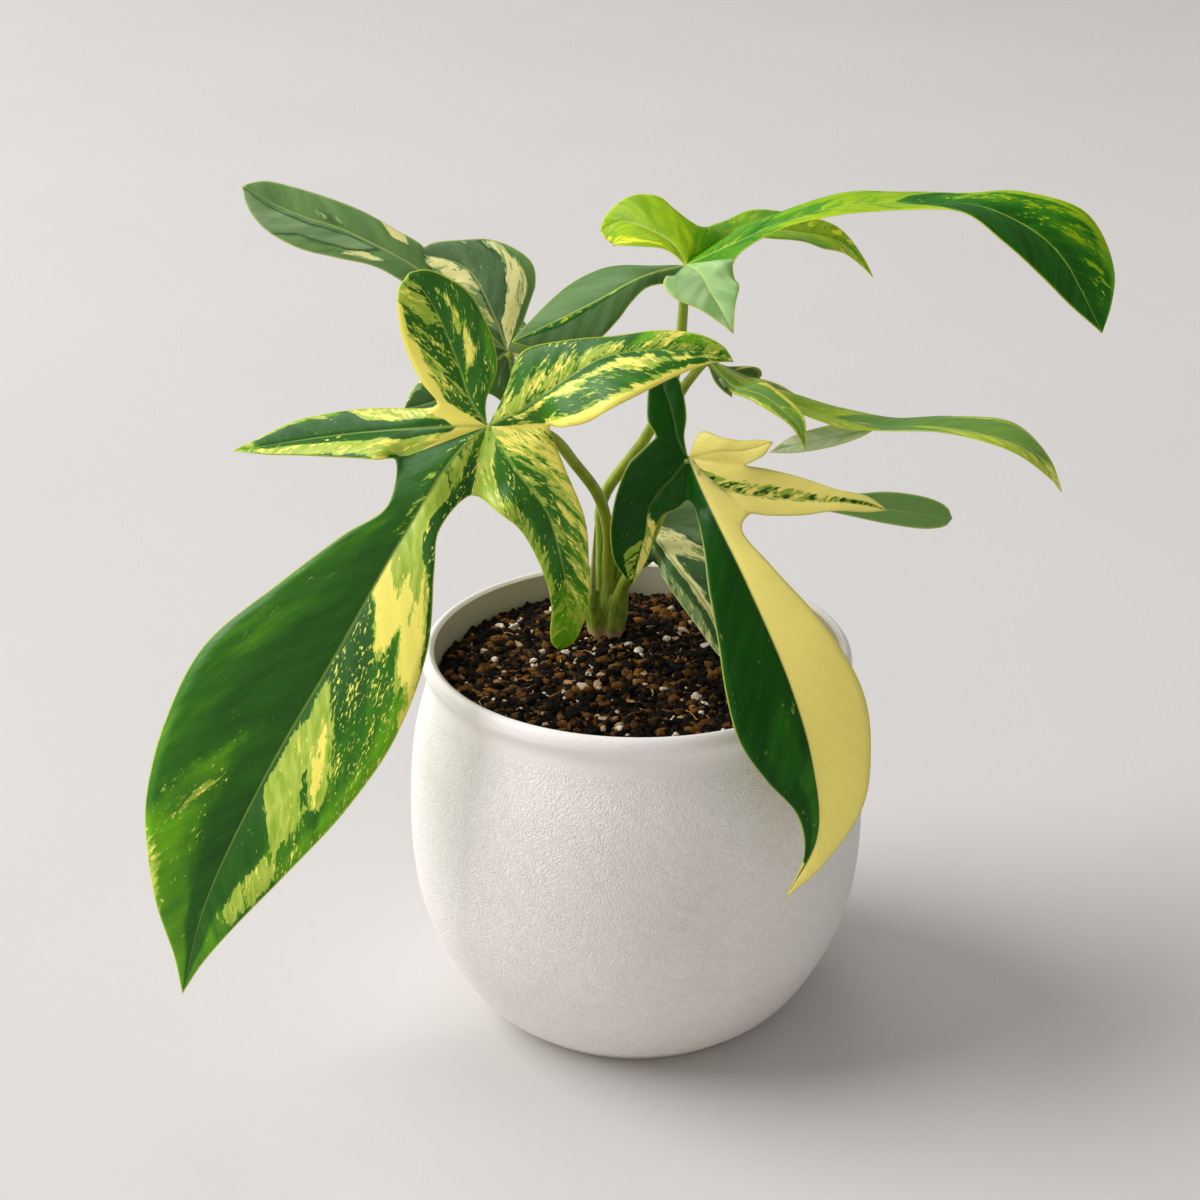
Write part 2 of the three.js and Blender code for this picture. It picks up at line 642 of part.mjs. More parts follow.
// The blade as a sheet of triangles that share their vertices
function bladeSheet(leaf) {
  const positions = [];
  for (const lobe of leaf.lobes) lobe.curve = smoothCurve([vector(leaf.joint), ...lobe.rib.map(vector)]);
  leaf.lobes.forEach((lobe, number) => {
    const marginSteps = Math.max(5, Math.round((lobe.curve.getLength() * (1 - lobe.neck)) / lobeStep));
    const places = [];
    for (let i = 0; i <= seamSteps; i += 1) places.push((lobe.neck * i) / seamSteps);
    for (let i = 1; i < marginSteps; i += 1) places.push(lobe.neck + ((1 - lobe.neck) * i) / marginSteps);
    places.push(1);
    for (const side of [-1, 1]) {
      const boundary = halfBoundary(leaf, number, side);
      const rows = places.map((place) => {
        const { point, up } = ribFrame(lobe, place);
        const edge = boundary(place);
        const arch = camber * point.distanceTo(edge);
        return Array.from({ length: columns + 1 }, (_, j) => {
          const across = j / columns;
          return point.clone().lerp(edge, across).addScaledVector(up, 4 * arch * across * (1 - across));
        });
      });
      for (let i = 0; i < rows.length - 1; i += 1) {
        for (let j = 0; j < columns; j += 1) {
          const [a, b, c, d] = [rows[i][j], rows[i][j + 1], rows[i + 1][j], rows[i + 1][j + 1]];
          const corners = side > 0 ? [a, b, c, b, d, c] : [a, c, b, b, c, d];
          for (const corner of corners) positions.push(...corner);
        }
      }
    }
  });
  const loose = new THREE.BufferGeometry();
  loose.setAttribute('position', new THREE.Float32BufferAttribute(positions, 3));
  const sheet = mergeVertices(loose, 1e-3);
  const index = [];
  for (let i = 0; i < sheet.index.count; i += 3) {
    const [a, b, c] = [0, 1, 2].map((k) => sheet.index.getX(i + k));
    if (a !== b && b !== c && c !== a) index.push(a, b, c);
  }
  sheet.setIndex(index);
  sheet.computeVertexNormals();
  return sheet;
}

// The sheet as a closed solid, with both faces split into the same triangles
function thicken(sheet, thickness) {
  const count = sheet.attributes.position.count;
  const positions = [];
  for (const face of [1, -1]) {
    for (let i = 0; i < count; i += 1) {
      const point = new THREE.Vector3().fromBufferAttribute(sheet.attributes.position, i);
      const normal = new THREE.Vector3().fromBufferAttribute(sheet.attributes.normal, i);
      positions.push(...point.addScaledVector(normal, (face * thickness) / 2));
    }
  }
  const index = [];
  const edges = new Map();
  for (let i = 0; i < sheet.index.count; i += 3) {
    const corners = [0, 1, 2].map((k) => sheet.index.getX(i + k));
    const [a, b, c] = corners;
    index.push(a, b, c, count + a, count + c, count + b);
    corners.forEach((from, k) => edges.set(`${from} ${corners[(k + 1) % 3]}`, [from, corners[(k + 1) % 3]]));
  }
  for (const [from, to] of edges.values()) {
    if (edges.has(`${to} ${from}`)) continue;
    index.push(from, count + from, to, to, count + from, count + to);
  }
  const geometry = new THREE.BufferGeometry();
  geometry.setAttribute('position', new THREE.Float32BufferAttribute(positions, 3));
  geometry.setIndex(index);
  return toSolid(geometry);
}

const stalkRadii = [2.3, 2.2, 2.1, 2, 2, 1.9, 1.9, 1.8, 1.2];
const stalkSides = 10;
const stalkSteps = 16;

// A stalk or a rolled leaf, standing a gap above the flat top of the crown
function standingTube(path, radii) {
  return taperedTube(path, radii, stalkSides, stalkSteps).trimByPlane([0, 0, 1], crownTop + touchGap);
}

// A blade and its stalk, which ends a gap below the blade's joint: the sheet's first vertex
function buildLeaf(leaf) {
  const sheet = bladeSheet(leaf);
  let blade = thicken(sheet, bladeThickness);
  for (const flap of leaf.flaps ?? []) blade = blade.add(thicken(bladeSheet(flap), bladeThickness));
  addMesh(`blade_${leaf.name}`, toGeometry(blade), leaf.colour, 0.45);
  const down = new THREE.Vector3().fromBufferAttribute(sheet.attributes.normal, 0).negate();
  const seat = down.dot(vector(leaf.joint)) + bladeThickness / 2 + 2 * touchGap;
  const stalk = standingTube(leaf.stalk, stalkRadii)
    .trimByPlane(down.toArray(), seat)
    .subtract(thicken(sheet, bladeThickness + 2 * touchGap));
  addMesh(`stalk_${leaf.name}`, toGeometry(largestBody(stalk)), colours.stalk, 0.5);
}

// Young leaf: still rolled in its pointed sheath at the front of the crown
const youngLeafPath = [[-14.5, 24.5, 131], [-14.5, 23, 141], [-14, 22, 152], [-13.6, 21, 162]];
const youngLeafRadii = [2.2, 1.6, 0.9, 0.3];

function buildYoungLeaf() {
  addMesh('young_leaf', toGeometry(standingTube(youngLeafPath, youngLeafRadii)), colours.stalk, 0.5);
}

buildPot();
buildCrown();
buildSoil();
for (const leaf of leaves) buildLeaf(leaf);
buildYoungLeaf();

export default group;
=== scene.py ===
import math
import random

import bpy
import numpy as np
from mathutils import Matrix, Vector, noise


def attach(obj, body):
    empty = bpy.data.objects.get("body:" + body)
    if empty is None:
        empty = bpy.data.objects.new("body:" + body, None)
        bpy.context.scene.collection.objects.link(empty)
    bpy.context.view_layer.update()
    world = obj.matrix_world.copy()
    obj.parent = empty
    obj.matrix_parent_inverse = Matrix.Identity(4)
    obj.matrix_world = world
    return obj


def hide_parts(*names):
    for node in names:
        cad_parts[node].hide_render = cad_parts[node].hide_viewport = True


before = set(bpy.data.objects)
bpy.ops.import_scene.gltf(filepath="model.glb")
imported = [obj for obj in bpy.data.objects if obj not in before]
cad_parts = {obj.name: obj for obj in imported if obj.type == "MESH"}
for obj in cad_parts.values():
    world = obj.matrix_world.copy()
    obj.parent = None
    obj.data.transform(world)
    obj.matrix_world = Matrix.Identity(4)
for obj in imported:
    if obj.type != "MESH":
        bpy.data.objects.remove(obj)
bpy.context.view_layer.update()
random.seed(11)
mm = 0.001  # the tables below are in millimetres


# Small helpers

def startClean():
    if bpy.context.object and bpy.context.object.mode == "EDIT":
        bpy.ops.object.mode_set(mode="OBJECT")
    bpy.ops.object.select_all(action="DESELECT")


def pick(obj):
    startClean()
    obj.select_set(True)
    bpy.context.view_layer.objects.active = obj


def settle(obj, crease=None):  # puts the object's place into its mesh and shades it smooth
    pick(obj)
    bpy.ops.object.transform_apply(location=True, rotation=True, scale=True)
    bpy.ops.object.shade_smooth()
    if crease:
        bpy.ops.object.shade_smooth_by_angle(angle=math.radians(crease))


def applyAll(obj):
    pick(obj)
    for modifier in list(obj.modifiers):
        bpy.ops.object.modifier_apply(modifier=modifier.name)


def joinAll(objects, name):
    startClean()
    for obj in objects:
        obj.select_set(True)
    bpy.context.view_layer.objects.active = objects[0]
    bpy.ops.object.join()
    objects[0].name = name
    objects[0].data.name = name
    return objects[0]


def addObject(name, data):
    obj = bpy.data.objects.new(name, data)
    bpy.context.scene.collection.objects.link(obj)
    return obj


def addMesh(name, corners, faces):  # corners in millimetres
    mesh = bpy.data.meshes.new(name)
    mesh.from_pydata((corners * mm).tolist(), [], faces)
    return addObject(name, mesh)


def newCurve(name, thickness, sides):
    curve = bpy.data.curves.new(name, "CURVE")
    curve.dimensions = "3D"
    curve.bevel_depth = thickness
    curve.bevel_resolution = sides
    return curve


def toMesh(obj):
    pick(obj)
    bpy.ops.object.convert(target="MESH")
    return bpy.context.object


def dress(obj, material, slot, *nodes):  # material, body, slot (not used) and the solids that it stands for
    obj.data.materials.clear()
    obj.data.materials.append(material)
    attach(obj, "root")
    if nodes:
        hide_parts(*nodes)


def smoothCurve(points):  # centripetal Catmull-Rom, places from 0 to 1
    points = np.array(points, float)
    padded = np.vstack([2 * points[0] - points[1], points, 2 * points[-1] - points[-2]])
    last = len(points) - 1

    def at(places):
        spot = np.clip(np.asarray(places, float), 0, 1) * last
        k = np.minimum(spot.astype(int), last - 1)
        w = (spot - k)[..., None]
        p = [padded[k + i] for i in range(4)]
        d0, d1, d2 = (np.sqrt(np.linalg.norm(p[i + 1] - p[i], axis=-1, keepdims=True)) for i in range(3))
        m1 = d1 * ((p[1] - p[0]) / d0 - (p[2] - p[0]) / (d0 + d1) + (p[2] - p[1]) / d1)
        m2 = d1 * ((p[2] - p[1]) / d1 - (p[3] - p[1]) / (d1 + d2) + (p[3] - p[2]) / d2)
        return p[1] + m1 * w + (3 * (p[2] - p[1]) - 2 * m1 - m2) * w**2 + (2 * (p[1] - p[2]) + m1 + m2) * w**3

    return at


def byLength(curve):  # the same curve with places by its length, and the length
    places = np.linspace(0, 1, 401)
    steps = np.linalg.norm(np.diff(curve(places), axis=0), axis=1)
    lengths = np.concatenate([[0], np.cumsum(steps)])
    return lambda place: curve(np.interp(np.asarray(place) * lengths[-1], lengths, places)), lengths[-1]


def unit(vectors):
    return vectors / np.linalg.norm(vectors, axis=1)[:, None]


# Node helpers: they add to the material that newMaterial made last

canvas = {}


def newMaterial(name, roughness, shine=None):
    material = bpy.data.materials.new(name)
    material.use_nodes = True
    canvas["tree"] = material.node_tree
    put("Roughness", roughness)
    if shine is not None:
        put("Specular IOR Level", shine)
    return material


def feed(socket, value):
    if isinstance(value, bpy.types.NodeSocket):
        canvas["tree"].links.new(value, socket)
    else:
        socket.default_value = value


def put(key, value):
    feed(canvas["tree"].nodes["Principled BSDF"].inputs[key], value)


def make(kind, inputs=(), out=0, **settings):
    node = canvas["tree"].nodes.new("ShaderNode" + kind)
    for key, value in settings.items():
        setattr(node, key, value)
    for key, value in dict(inputs).items():
        feed(node.inputs[key], value)
    return node.outputs[out]


def calc(operation, *values):
    return make("Math", dict(enumerate(values)), operation=operation)


def plus(a, b):
    return calc("ADD", a, b)


def times(a, b):
    return calc("MULTIPLY", a, b)


def blend(factor, a, b):
    return make("Mix", {0: factor, 6: a, 7: b}, out=2, data_type="RGBA")


def ramp(value, low, high, start=0.0, end=1.0):
    return make("MapRange", {"Value": value, 1: low, 2: high, 3: start, 4: end})


def cloud(place, scale, detail, rough=0.5, out=0):
    return make("TexNoise", {"Vector": place, "Scale": scale, "Detail": detail, "Roughness": rough}, out)


def stretched(place, scales, detail):
    return cloud(make("Mapping", {0: place, 3: scales}), 1, detail)


def objectPlace():  # object coordinates, and the height alone
    place = make("TexCoord", out=3)
    return place, make("SeparateXYZ", {0: place}, out=2)


def relief(height, depth, strength):
    put("Normal", make("Bump", {"Height": height, "Distance": depth * mm, "Strength": strength}))


def rgb(red, green, blue):  # screen values from 0 to 255 to linear light
    def light(v):
        v /= 255
        return v / 12.92 if v < 0.04045 else ((v + 0.055) / 1.055) ** 2.4

    return (light(red), light(green), light(blue), 1)


# Camera, floor and light

view = {
    "target": (-12, 0, 144), "distance": 708, "lookDown": 23.7,  # millimetres and degrees
    "lens": 66, "nearest": 0.02, "look": "Standard",
}
room = {
    "floorSize": 12, "floorTones": (rgb(204, 201, 200), rgb(212, 209, 208)),
    "air": rgb(236, 234, 231), "airLight": 0.4,
}
lights = {
    "windowLight": {"at": (-4.2, 0.35, 3.5), "size": 4.6, "power": 360, "tint": (1, 0.99, 0.98)},
    "skyLight": {"at": (-0.6, 2.0, 4.8), "size": 2.8, "power": 36, "tint": (0.98, 0.99, 1)},
    "frontFill": {"at": (-0.9, -4.2, 2.4), "size": 2.4, "power": 16, "tint": (1, 0.87, 0.68)},
}


def addCamera():
    down = math.radians(view["lookDown"])
    target = Vector(view["target"]) * mm
    away = Vector((0, -math.cos(down), math.sin(down))) * view["distance"] * mm
    bpy.ops.object.camera_add(location=target + away, rotation=(math.pi / 2 - down, 0, 0))
    camera = bpy.context.object
    camera.data.lens = view["lens"]
    camera.data.clip_start = view["nearest"]
    bpy.context.scene.camera = camera


def addStage():
    startClean()
    bpy.ops.mesh.primitive_plane_add(size=room["floorSize"], location=(0, 0, 0))
    floor = bpy.context.object
    floor.name = "floor"
    material = newMaterial("paleFloor", 0.7)
    put("Base Color", blend(cloud(make("TexCoord", out=3), 3, 3), *room["floorTones"]))
    floor.data.materials.append(material)


def addLights():
    for name, light in lights.items():
        spot = Vector(light["at"])
        aim = (Vector(view["target"]) * mm - spot).to_track_quat("-Z", "Y").to_euler()
        bpy.ops.object.light_add(type="AREA", location=spot, rotation=aim)
        lamp = bpy.context.object
        lamp.name = name
        lamp.data.shape = "DISK"
        lamp.data.size = light["size"]
        lamp.data.energy = light["power"]
        lamp.data.color = light["tint"]
    world = bpy.data.worlds.new("softRoom")
    world.use_nodes = True
    background = world.node_tree.nodes["Background"].inputs
    background["Color"].default_value = room["air"]
    background["Strength"].default_value = room["airLight"]
    bpy.context.scene.world = world
    bpy.context.scene.view_settings.view_transform = view["look"]


addCamera()
addStage()
addLights()
print("stage ready")


# Pot: turned ring by ring, like the photo's rounded white one

pot = {
    "foot": 46, "footBevel": (1.6, 0.3), "segments": 160, "crease": 40, "inset": 20,
    "outside": [(49.5, 2.2), (56.2, 8), (63.8, 19.4), (71.9, 39), (75, 62), (73.2, 97), (68.6, 116), (67.9, 121)],
    "rim": [(68.6, 122.4), (69.7, 124.8), (69.1, 127.6), (67.5, 129), (65.8, 128.1)],
    "inside": [(65.6, 124), (65.6, 119), (66.8, 110), (69, 97), (70.8, 62), (67.7, 39), (62, 20), (56, 12), (50, 7)],
    "steps": {"outside": 2, "rim": 0.5, "inside": 5},
    "glaze": rgb(245, 242, 239), "glazeShade": rgb(237, 232, 227), "rough": 0.55, "rimRough": 0.4,
    # inner: a warm tint on the inside wall above the soil, painted bounce light from the leaves and soil
    "inner": rgb(222, 214, 194), "wrinkleSize": 1.25, "wrinkleDepth": 0.5,
}


def potProfile():  # radius and height from the foot, over the rim and down to the floor inside
    wider, higher = pot["footBevel"]
    profile = [(pot["foot"], 0.0), (pot["foot"] + wider, higher)]
    for key, step in pot["steps"].items():
        flat = [(radius, 0, height) for radius, height in pot[key]]
        line, length = byLength(smoothCurve(flat))
        profile += [tuple(p) for p in line(np.linspace(0, 1, round(length / step) + 1))[:, [0, 2]]]
    return profile


def potInnerRadius(height):
    radii, heights = zip(*reversed(pot["inside"]))
    return float(np.interp(height, heights, radii))


def extrudeTo(rise, ratio, height):  # one more ring above or below the last
    bpy.ops.mesh.extrude_region_move(TRANSFORM_OT_translate={"value": (0, 0, rise * mm)})
    bpy.ops.transform.resize(value=(ratio, ratio, 1), center_override=(0, 0, height * mm))


def closeMesh():
    bpy.ops.mesh.select_all(action="SELECT")
    bpy.ops.mesh.normals_make_consistent(inside=False)
    bpy.ops.object.mode_set(mode="OBJECT")


def selectEdge():
    bpy.ops.mesh.select_all(action="DESELECT")
    bpy.ops.mesh.select_non_manifold()


def buildPot():
    profile = potProfile()
    startClean()
    bpy.ops.mesh.primitive_circle_add(
        vertices=pot["segments"], radius=profile[0][0] * mm, fill_type="NGON", location=(0, 0, 0))
    shell = bpy.context.object
    shell.name = "potShell"
    bpy.ops.object.mode_set(mode="EDIT")
    for (r0, z0), (r1, z1) in zip(profile, profile[1:]):
        extrudeTo(z1 - z0, r1 / r0, z1)
    bpy.ops.mesh.inset(thickness=pot["inset"] * mm)  # smaller faces on the hidden floor
    selectEdge()
    bpy.ops.mesh.edge_face_add()  # closes the underside
    bpy.ops.mesh.inset(thickness=pot["inset"] * mm)
    closeMesh()
    settle(shell, pot["crease"])
    return shell


def potGlaze():  # matte glaze with a finely wrinkled skin that fades out on the rolled rim; a warm tint on the inside wall above the soil is painted bounce light from the leaves and soil
    material = newMaterial("wrinkledWhiteGlaze", pot["rough"])
    place, height = objectPlace()
    body = times(ramp(height, 0.1185, 0.1145), ramp(height, 0.001, 0.006))
    across = make("VectorMath", {0: place, 1: (1, 1, 0)}, operation="MULTIPLY")
    reach = make("VectorMath", {0: across}, out=1, operation="LENGTH")
    # painted bounce light: the inside wall above the soil is tinted warm, where light from the leaves and soil would
    # fall
    paintedBounceMask = times(ramp(reach, 0.0672, 0.0662), ramp(height, 0.115, 0.118))
    glaze = blend(ramp(cloud(place, 22, 4), 0.35, 0.7), pot["glaze"], pot["glazeShade"])
    put("Base Color", blend(paintedBounceMask, glaze, pot["inner"]))
    warp = make("VectorMath", {0: cloud(place, 210, 1, out=1), 3: 0.004}, operation="SCALE")
    bent = make("VectorMath", {0: place, 1: warp}, operation="ADD")
    folds = cloud(bent, 1000 / pot["wrinkleSize"], 1)
    fold = ramp(calc("ABSOLUTE", calc("SUBTRACT", folds, 0.5)), 0, 0.16, 1, 0)
    skin = plus(times(fold, 0.35), times(cloud(bent, 1400, 2), 0.5))
    relief(times(skin, calc("MULTIPLY_ADD", body, 0.75, 0.25)), pot["wrinkleDepth"], 0.9)
    put("Roughness", ramp(body, 0, 1, pot["rimRough"], pot["rough"]))
    return material


potShell = buildPot()
dress(potShell, potGlaze(), "pot", "pot")
print("pot ready", len(potShell.data.polygons))


# Potting mix: a crumbled bed with lumps, bark bits, fibres and white mineral grains

soil = {
    "level": 119, "cells": 200, "wallGap": 0.35, "depthSteps": [97, 62, 39, 20, 12, 7.4],
    "lumpy": (2.2, 1.3), "wavy": (7, 1.0),  # size and height of its unevenness
    "dark": rgb(34, 22, 9), "damp": rgb(8, 5, 1), "brown": rgb(146, 98, 36), "shine": 0.15,
}
bits = {
    "smaller": 2.2, "jagSize": 1.7, "longer": 0.7, "flatter": (0.7, 0.6), "tip": 0.6, "lean": 0.5,
    "rim": 3.0, "clear": 0.6, "longest": 1.9,
}
lumps = {"count": 7000, "small": 0.3, "large": 2.0, "squash": 0.75, "detail": 1, "sink": 0.2, "rough": 0.9}
bark = {
    "count": 520, "small": 0.4, "large": 1.8, "squash": 0.42, "detail": 1, "sink": 0.55, "rough": 0.8,
    "tan": rgb(206, 156, 98), "brown": rgb(100, 62, 28),
}
grains = {
    "count": 320, "small": 0.45, "large": 1.6, "squash": 0.8, "detail": 2, "sink": 0.55, "rough": 0.5,
    "white": rgb(236, 226, 208), "stained": rgb(176, 146, 112),
}
fibres = {
    "count": 36, "length": 8, "thickness": (0.16, 0.6, 0.8), "joints": 6, "bend": 0.7, "lift": 0.5,
    "rim": 6, "reach": 60,
}


def soilHeight(x, y):  # the same swell as the solid's, with its crumbs
    swell = 1.2 * math.sin(x / 17 + 1) * math.cos(y / 14)
    crumbs = 0.7 * math.sin(x * 0.9 + 2 * math.sin(y * 0.4)) * math.sin(y * 0.8 + 1.7 * math.sin(x * 0.5))
    edgeDrop = 1.5 * (math.hypot(x, y) / 65.8) ** 4
    return soil["level"] + swell + crumbs - edgeDrop


def buildSoilBed():
    startClean()
    bpy.ops.mesh.primitive_grid_add(x_subdivisions=soil["cells"], y_subdivisions=soil["cells"], size=2)
    bed = bpy.context.object
    bed.name = "soilBed"
    edge = potInnerRadius(soil["level"]) - soil["wallGap"]
    (lumpSize, lumpHeight), (waveSize, waveHeight) = soil["lumpy"], soil["wavy"]
    for vertex in bed.data.vertices:  # the square grid becomes a disc
        u, v = vertex.co.x, vertex.co.y
        x, y = u * math.sqrt(1 - v * v / 2) * edge, v * math.sqrt(1 - u * u / 2) * edge
        rough = noise.fractal(Vector((x, y, 3)) / lumpSize, 0.7, 2.1, 4) * lumpHeight
        rough += noise.noise(Vector((x, y, 9)) / waveSize) * waveHeight
        vertex.co = Vector((x, y, soilHeight(x, y) + rough)) * mm
    bpy.ops.object.mode_set(mode="EDIT")
    selectEdge()
    radius, height = edge, soil["level"]
    for step in soil["depthSteps"]:
        wider = potInnerRadius(step) - 2 * soil["wallGap"]
        extrudeTo(step - height, wider / radius, step)
        radius, height = wider, step
    bpy.ops.transform.resize(value=(1, 1, 0), center_override=(0, 0, height * mm))  # flat underneath
    bpy.ops.mesh.edge_face_add()
    closeMesh()
    settle(bed)
    return bed


def scatterSpot(rim):
    radius = (potInnerRadius(soil["level"]) - rim) * math.sqrt(random.random())
    angle = random.random() * 2 * math.pi
    return radius * math.cos(angle), radius * math.sin(angle)


def scatter(name, kind):  # one jagged bit, copied and fused
    startClean()
    bpy.ops.mesh.primitive_ico_sphere_add(subdivisions=kind["detail"], radius=1)
    seedBit = bpy.context.object
    corners = np.array([v.co for v in seedBit.data.vertices])
    faces = np.array([p.vertices for p in seedBit.data.polygons])
    thinnest, spread = bits["flatter"]
    shapes, tones = [], []
    halfTurn = Vector((0, 0, 1)).to_track_quat("Z", "Y").to_matrix()
    for i in range(kind["count"]):
        x, y = scatterSpot(bits["rim"])
        size = kind["small"] + (kind["large"] - kind["small"]) * random.random() ** bits["smaller"]
        reach = potInnerRadius(soil["level"]) - bits["longest"] * size - bits["clear"]
        shrink = min(1, reach / max(math.hypot(x, y), 1))
        x, y = x * shrink, y * shrink
        jags = np.array([noise.noise(Vector(c) * bits["jagSize"] + Vector((i, 0, 0))) for c in corners])
        longer = 1 + bits["longer"] * random.random()
        flatter = kind["squash"] * (thinnest + spread * random.random())
        shape = corners * (1 + kind["rough"] * jags)[:, None] * np.array([longer, 1, flatter]) * size
        turn = random.random() * 6.3
        tip, lean = (random.uniform(-bits[key], bits[key]) for key in ("tip", "lean"))
        spin = halfTurn
        for angle, axis in ((tip, "X"), (lean, "Y"), (turn, "Z")):
            spin = Matrix.Rotation(angle, 3, axis) @ spin
        height = soilHeight(x, y) + size * kind["squash"] * kind["sink"]
        shapes.append(shape @ np.array(spin).T + np.array([x, y, height]))
        tones.append(random.random())
    allFaces = np.concatenate([faces + i * len(corners) for i in range(kind["count"])])
    bpy.data.objects.remove(seedBit)
    obj = addMesh(name, np.concatenate(shapes), allFaces.tolist())
    tone = obj.data.attributes.new("tone", "FLOAT", "POINT")
    tone.data.foreach_set("value", np.repeat(tones, len(corners)).astype(np.float32))
    return obj


def buildFibres():
    thickness, thinnest, spread = fibres["thickness"]
    step = fibres["length"] / fibres["joints"]
    curve = newCurve("soilFibres", thickness * mm, 0)
    curve.resolution_u = 1
    for _ in range(fibres["count"]):
        x, y = scatterSpot(fibres["rim"])
        heading = random.random() * 2 * math.pi
        line = curve.splines.new("POLY")
        line.points.add(fibres["joints"])
        for point in line.points:
            lift = fibres["lift"] * (1 + random.random())
            point.co = (x * mm, y * mm, (soilHeight(x, y) + lift) * mm, 1)
            point.radius = thinnest + spread * random.random()
            heading += random.uniform(-fibres["bend"], fibres["bend"])
            x, y = x + math.cos(heading) * step, y + math.sin(heading) * step
            if math.hypot(x, y) > fibres["reach"]:
                x, y = x * 0.95, y * 0.95
    return toMesh(addObject("soilFibres", curve))


def crumbMaterial(name, light, dark, roughness, depth, low=0.25, high=0.75):
    material = newMaterial(name, roughness, soil["shine"])
    tone = make("Attribute", out=2, attribute_name="tone")
    mottle = cloud(make("TexCoord", out=3), 900, 5, 0.7)
    mixed = plus(times(tone, 0.6), times(mottle, 0.5))
    put("Base Color", blend(ramp(mixed, low, high), light, dark))
    relief(mottle, depth, 0.9)
    return material


def bedMaterial():
    material = newMaterial("dampPottingMix", 0.9, soil["shine"])
    place = make("TexCoord", out=3)
    coarse = cloud(place, 260, 6, 0.7)
    fine = cloud(place, 900, 4, 0.7)
    base = blend(ramp(coarse, 0.4, 0.62), soil["damp"], soil["dark"])
    put("Base Color", blend(ramp(fine, 0.6, 0.72), base, soil["brown"]))
    relief(coarse, 0.9, 0.9)
    return material


dress(buildSoilBed(), bedMaterial(), "soil", "soil")
crumbKinds = [
    (scatter("soilLumps", lumps), ("darkCrumbs", soil["brown"], soil["damp"], 0.85, 0.9, 0.16, 0.46), None),
    (scatter("barkBits", bark), ("bark", bark["tan"], bark["brown"], 0.75, 0.4, 0.2, 0.5), 35),
    (scatter("mineralGrains", grains), ("whiteMineral", grains["white"], grains["stained"], 0.8, 0.3), 35),
    (buildFibres(), ("rootFibre", bark["tan"], bark["brown"], 0.8, 0.1), 35),
]
for crumbs, look, crease in crumbKinds:
    dress(crumbs, crumbMaterial(*look), "soil")
    settle(crumbs, crease)
print("potting mix ready")


# Crown and leaf stalks

stalks = {"radii": [2.45, 2.2, 2.05, 1.95, 1.9, 1.85, 1.8, 1.65, 1.35], "sides": 4, "rings": 40}
crown = {
    "path": [(-10, 29, 104), (-10, 29, 112), (-9.6, 28.7, 120), (-9.4, 28.5, 127)],
    "radii": [3.6, 5.0, 5.0, 3.0], "rings": 12, "sides": 3, "voxel": 0.42, "relax": 6,
    "sheathRadii": [3.8, 3.7, 3.4, 2.8, 2.1], "youngRadii": [3.7, 3.4, 2.8, 1.8, 0.9],
    "sheathTop": 141, "sheathRings": 14,
    "root": (-9.8, 28.8, 112), "middle": (-9.6, 28.6, 131), "spread": (0.45, 0.45, 0),  # of the sheaths
    "olive": rgb(142, 160, 50), "green": rgb(84, 126, 24), "top": rgb(142, 162, 46),
    "pink": rgb(196, 150, 120), "edge": rgb(190, 198, 110),
}
youngLeaf = {
    "path": [(-13.5, 25.5, 126), (-14.5, 24, 134), (-14.5, 23, 141), (-14, 22, 152), (-13.6, 21, 161.6)],
    "radii": [2.2, 1.7, 1.2, 0.9, 0.7, 0.45, 0.15], "rings": 30, "sides": 4,
}


def tubeAlong(name, path, radii, rings, sides):  # a bevelled curve turned into a closed mesh
    line, length = byLength(smoothCurve(path))
    places = np.linspace(0, 1, rings + 1)
    curve = newCurve(name, mm, sides)
    curve.use_fill_caps = True
    spline = curve.splines.new("POLY")
    spline.points.add(rings)
    for point, place, spot in zip(spline.points, places, line(places)):
        point.co = (*(spot * mm), 1)
        point.radius = float(np.interp(place * (len(radii) - 1), range(len(radii)), radii))
    tube = toMesh(addObject(name, curve))
    bpy.ops.object.mode_set(mode="EDIT")
    bpy.ops.mesh.select_all(action="SELECT")
    bpy.ops.mesh.remove_doubles(threshold=1e-6)
    closeMesh()
    return tube


def buildCrown(stalkPaths):
    tubes = [tubeAlong("crownCore", crown["path"], crown["radii"], crown["rings"], crown["sides"])]
    sheaths = [(path, crown["sheathRadii"]) for path in stalkPaths] + [(youngLeaf["path"], crown["youngRadii"])]
    for path, radii in sheaths:
        line, length = byLength(smoothCurve(path))
        spots = [spot for spot in line(np.linspace(0, 1, 80)) if spot[2] < crown["sheathTop"]]
        root = np.array(crown["root"]) + (spots[0] - crown["middle"]) * crown["spread"]
        sheath = [root, (root + spots[0]) / 2 + [0, 0, 1]] + spots[2::3]
        tubes.append(tubeAlong("sheath", sheath, radii, crown["sheathRings"], crown["sides"]))
    lump = joinAll(tubes, "crown")
    remesh = lump.modifiers.new("fuse", "REMESH")
    remesh.mode = "VOXEL"
    remesh.voxel_size = crown["voxel"] * mm
    smooth = lump.modifiers.new("soften", "SMOOTH")
    smooth.iterations = crown["relax"]
    applyAll(lump)
    settle(lump)
    return lump


def tissueMaterial(name, tip, foot, streak, rough):
    material = newMaterial(name, rough)
    place, height = objectPlace()
    lines = stretched(place, (900, 900, 60), 3)
    base = blend(ramp(height, 0.135, 0.165), foot, tip)
    base = blend(ramp(cloud(place, 240, 3), 0.45, 0.75, 0, 0.6), base, streak)
    put("Base Color", blend(ramp(lines, 0.5, 0.72, 0, 0.45), base, streak))
    relief(lines, 0.25, 0.5)
    put("Subsurface Weight", 0.1)
    put("Subsurface Scale", 1 * mm)
    return material


